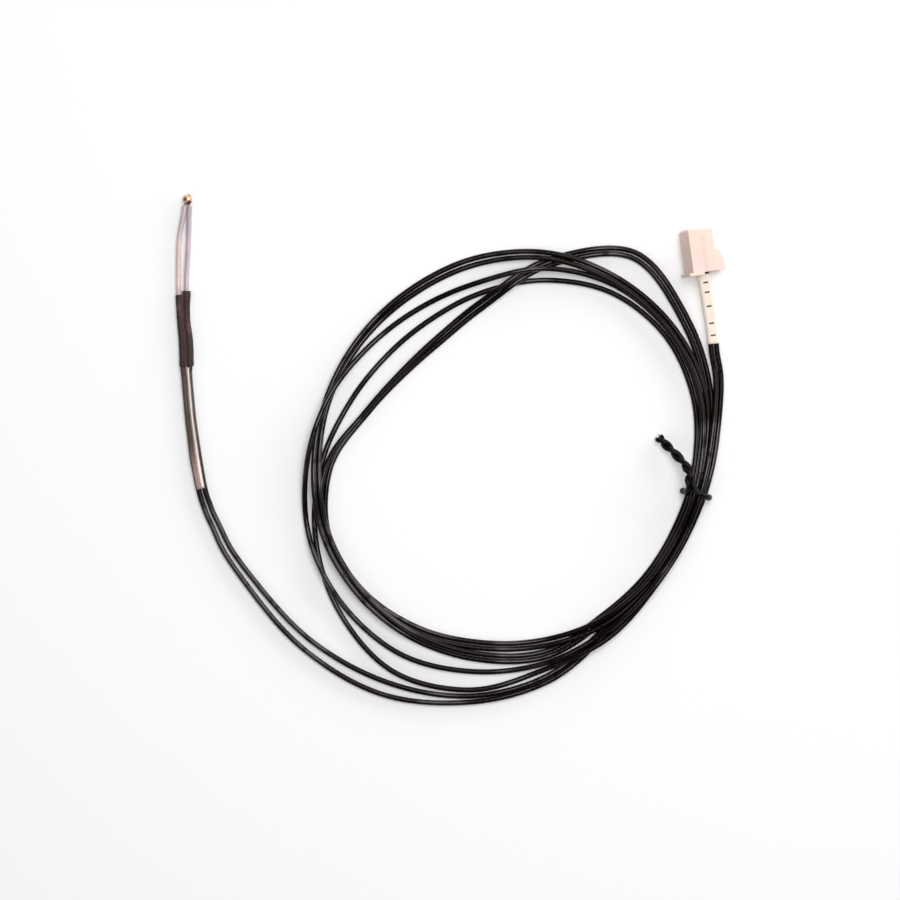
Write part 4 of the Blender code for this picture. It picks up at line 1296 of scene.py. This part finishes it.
class THERMISTOR_OT_housing(bpy.types.Operator):
    """Mould the two-way housing and finish the terminals inside it"""
    bl_idname = "thermistor.housing"
    bl_label = "Crimp housing"

    def execute(self, context):
        settings = context.scene.thermistor_housing
        u, n = BODY_U / 2, BODY_N / 2
        obj = block("moulded_housing", (-u, 0, -n), (u, BODY_V, n), END_CHAMFER)
        rim = [(u + off, v) for off, v in WING_RIM]
        wing = [(u - BURY, STAGGER), *rim, (u - BURY, WING_TOP)]
        shape_with(obj, plate("wing", wing, -WING_N / 2, n - BURY), "UNION")
        foot = u - PANEL_U - PANEL_RAMP
        panel = block(
            "panel", (foot, 2 * STAGGER, n - PANEL_BURY), (u - PANEL_INSET, PANEL_TOP, n + PANEL_N))
        for vert in panel.data.vertices:
            if vert.co.x < (foot + STAGGER) * MM and vert.co.z > n * MM:
                vert.co.x += PANEL_RAMP * MM
        shape_with(obj, panel, "UNION")
        start, stop = LIP_V
        top = n + LIP_N
        shape_with(obj, block(
            "side_lip", (-u - LIP_U, start, -n + BURY), (-u + BURY, stop, top)), "UNION")
        shape_with(obj, block(
            "top_lip", (-u + STAGGER, start - STAGGER, n - BURY),
            (foot - STAGGER, stop + STAGGER, top + STAGGER)), "UNION")
        for side in (-1, 1):
            mid = side * CONTACT_PITCH / 2
            shape_with(obj, block(
                "cavity", (mid - CAVITY_U / 2, POCKET_DEPTH - BURY, -CAVITY_N / 2),
                (mid + CAVITY_U / 2, BODY_V + 1, CAVITY_N / 2)), "DIFFERENCE")
            shape_with(obj, block(
                "lance_window", (mid - WINDOW_U / 2, WINDOW_AT, -n - 1),
                (mid + WINDOW_U / 2, WINDOW_AT + WINDOW_V, 0)), "DIFFERENCE")
        shape_with(obj, block(
            "wire_pocket", (-POCKET_U / 2, -1, -CAVITY_N / 2 - STAGGER),
            (POCKET_U / 2, POCKET_DEPTH, CAVITY_N / 2 + STAGGER)), "DIFFERENCE")
        rounding = obj.modifiers.new("moulded_edges", "BEVEL")
        rounding.width = settings.edge
        rounding.segments = 3
        rounding.limit_method = "ANGLE"
        rounding.angle_limit = math.radians(35)
        bake(obj)
        obj.data.transform(housing_matrix())
        give_finish(obj.data, moulded_nylon(settings))
        finish_piece(obj, "housing_nylon", "connector_housing")
        tin = bright_metal("terminal_tin", (0.72, 0.71, 0.69), 0.25)
        for key in "ab":
            finish_node("terminal_" + key, tin)
        return {"FINISHED"}


class THERMISTOR_OT_tie(bpy.types.Operator):
    """Twist the coated tie round the coil"""
    bl_idname = "thermistor.tie"
    bl_label = "Twist tie"

    def execute(self, context):
        settings = context.scene.thermistor_tie
        tail = spline(np.array(TIE_TAIL), np.linspace(0, len(TIE_TAIL) - 1, TAIL_STEPS))
        sides, ups = side_vectors(tail)
        spread = settings.spread / MM
        strands = []
        for phase in (0.0, math.pi):
            a = (phase + 2 * math.pi * settings.turns * np.linspace(0, 1, len(tail)))[:, None]
            strands.append(tail + spread * (np.cos(a) * sides + np.sin(a) * ups))
        start = np.array((*TIE_INNER, 0.0))
        ahead = np.array((*TIE_OUTER, 0.0)) - start
        ahead /= np.linalg.norm(ahead)
        aside = np.array((-ahead[1], ahead[0], 0.0))
        rows = np.array([start + x * ahead + y * aside + (0, 0, z) for x, y, z in TIE_LOOP])
        loop = spline(rows, np.linspace(0, len(rows) - 1, LOOP_STEPS * len(rows)))
        route = np.vstack([strands[0][::-1], loop, strands[1]])
        route[:, 2] += settings.diameter / 2 / MM - TIE_R
        edges = np.array((TIE_INNER, TIE_OUTER))
        near = np.hypot(*(route[:, None, :2] - edges).transpose(2, 0, 1)).min(axis=1)
        raised = np.clip((route[:, 2] - SWELL_FROM) / SWELL_FROM, 0, 1)
        thick = 1.0 + SWELL * np.exp(-(near / SWELL_REACH) ** 2) * raised
        obj = path_object("tie", route, thick)
        apply_tree(obj, coated_wire_tree(), {
            "Radius": settings.diameter / 2, "Dent": 0.05, "Sides": 20,
            "Coating": tie_coating(settings)})
        finish_piece(obj, "tie_black", "twist_tie")

        core = bright_metal("tie_core", (0.85, 0.84, 0.82), 0.15)
        for number, strand in enumerate(strands):
            end = strand[-1]
            way = end - strand[-2]
            way /= np.linalg.norm(way)
            mids = np.array([end + reach * way for reach in (CORE_FROM, CORE_BEND, CORE_TIP)])
            stub = solid_tube("tie_core_%d" % number, mids, CORE_R, core, 16)
            finish_piece(stub, "tie_black")
        return {"FINISHED"}


class THERMISTOR_OT_cords(bpy.types.Operator):
    bl_idname = "thermistor.cords"
    bl_label = "Declare cords"

    def execute(self, context):
        for wire, key in enumerate("ab"):
            points = laid_route(wire, finer=2) * MM
        return {"FINISHED"}


class THERMISTOR_PT_panel(bpy.types.Panel):
    """Lists the thermistor's pieces and their settings"""
    bl_label = "Bead thermistor"
    bl_idname = "THERMISTOR_PT_panel"
    bl_space_type = "VIEW_3D"
    bl_region_type = "UI"
    bl_category = "Thermistor"

    def draw(self, context):
        for operator in PIECES:
            self.layout.operator(operator.bl_idname)
        for name, group in SETTINGS:
            box = self.layout.box()
            for field in group.__annotations__:
                box.prop(getattr(context.scene, name), field)


PIECES = (
    THERMISTOR_OT_stage, THERMISTOR_OT_wires, THERMISTOR_OT_bead, THERMISTOR_OT_leads,
    THERMISTOR_OT_sleeves, THERMISTOR_OT_marker, THERMISTOR_OT_housing, THERMISTOR_OT_tie,
    THERMISTOR_OT_cords,
)
SETTINGS = (
    ("thermistor_wires", WireSettings), ("thermistor_head", HeadSettings),
    ("thermistor_housing", HousingSettings), ("thermistor_tie", TieSettings),
    ("thermistor_stage", StageSettings),
)


def register():
    for name, group in SETTINGS:
        bpy.utils.register_class(group)
        setattr(bpy.types.Scene, name, PointerProperty(type=group))
    for operator in PIECES:
        bpy.utils.register_class(operator)
    bpy.utils.register_class(THERMISTOR_PT_panel)


def unregister():
    bpy.utils.unregister_class(THERMISTOR_PT_panel)
    for operator in reversed(PIECES):
        bpy.utils.unregister_class(operator)
    for name, group in reversed(SETTINGS):
        delattr(bpy.types.Scene, name)
        bpy.utils.unregister_class(group)


def main():
    register()
    for step in ("stage", "wires", "bead", "leads", "sleeves", "marker", "housing", "tie", "cords"):
        getattr(bpy.ops.thermistor, step)()


if __name__ == "__main__":
    main()
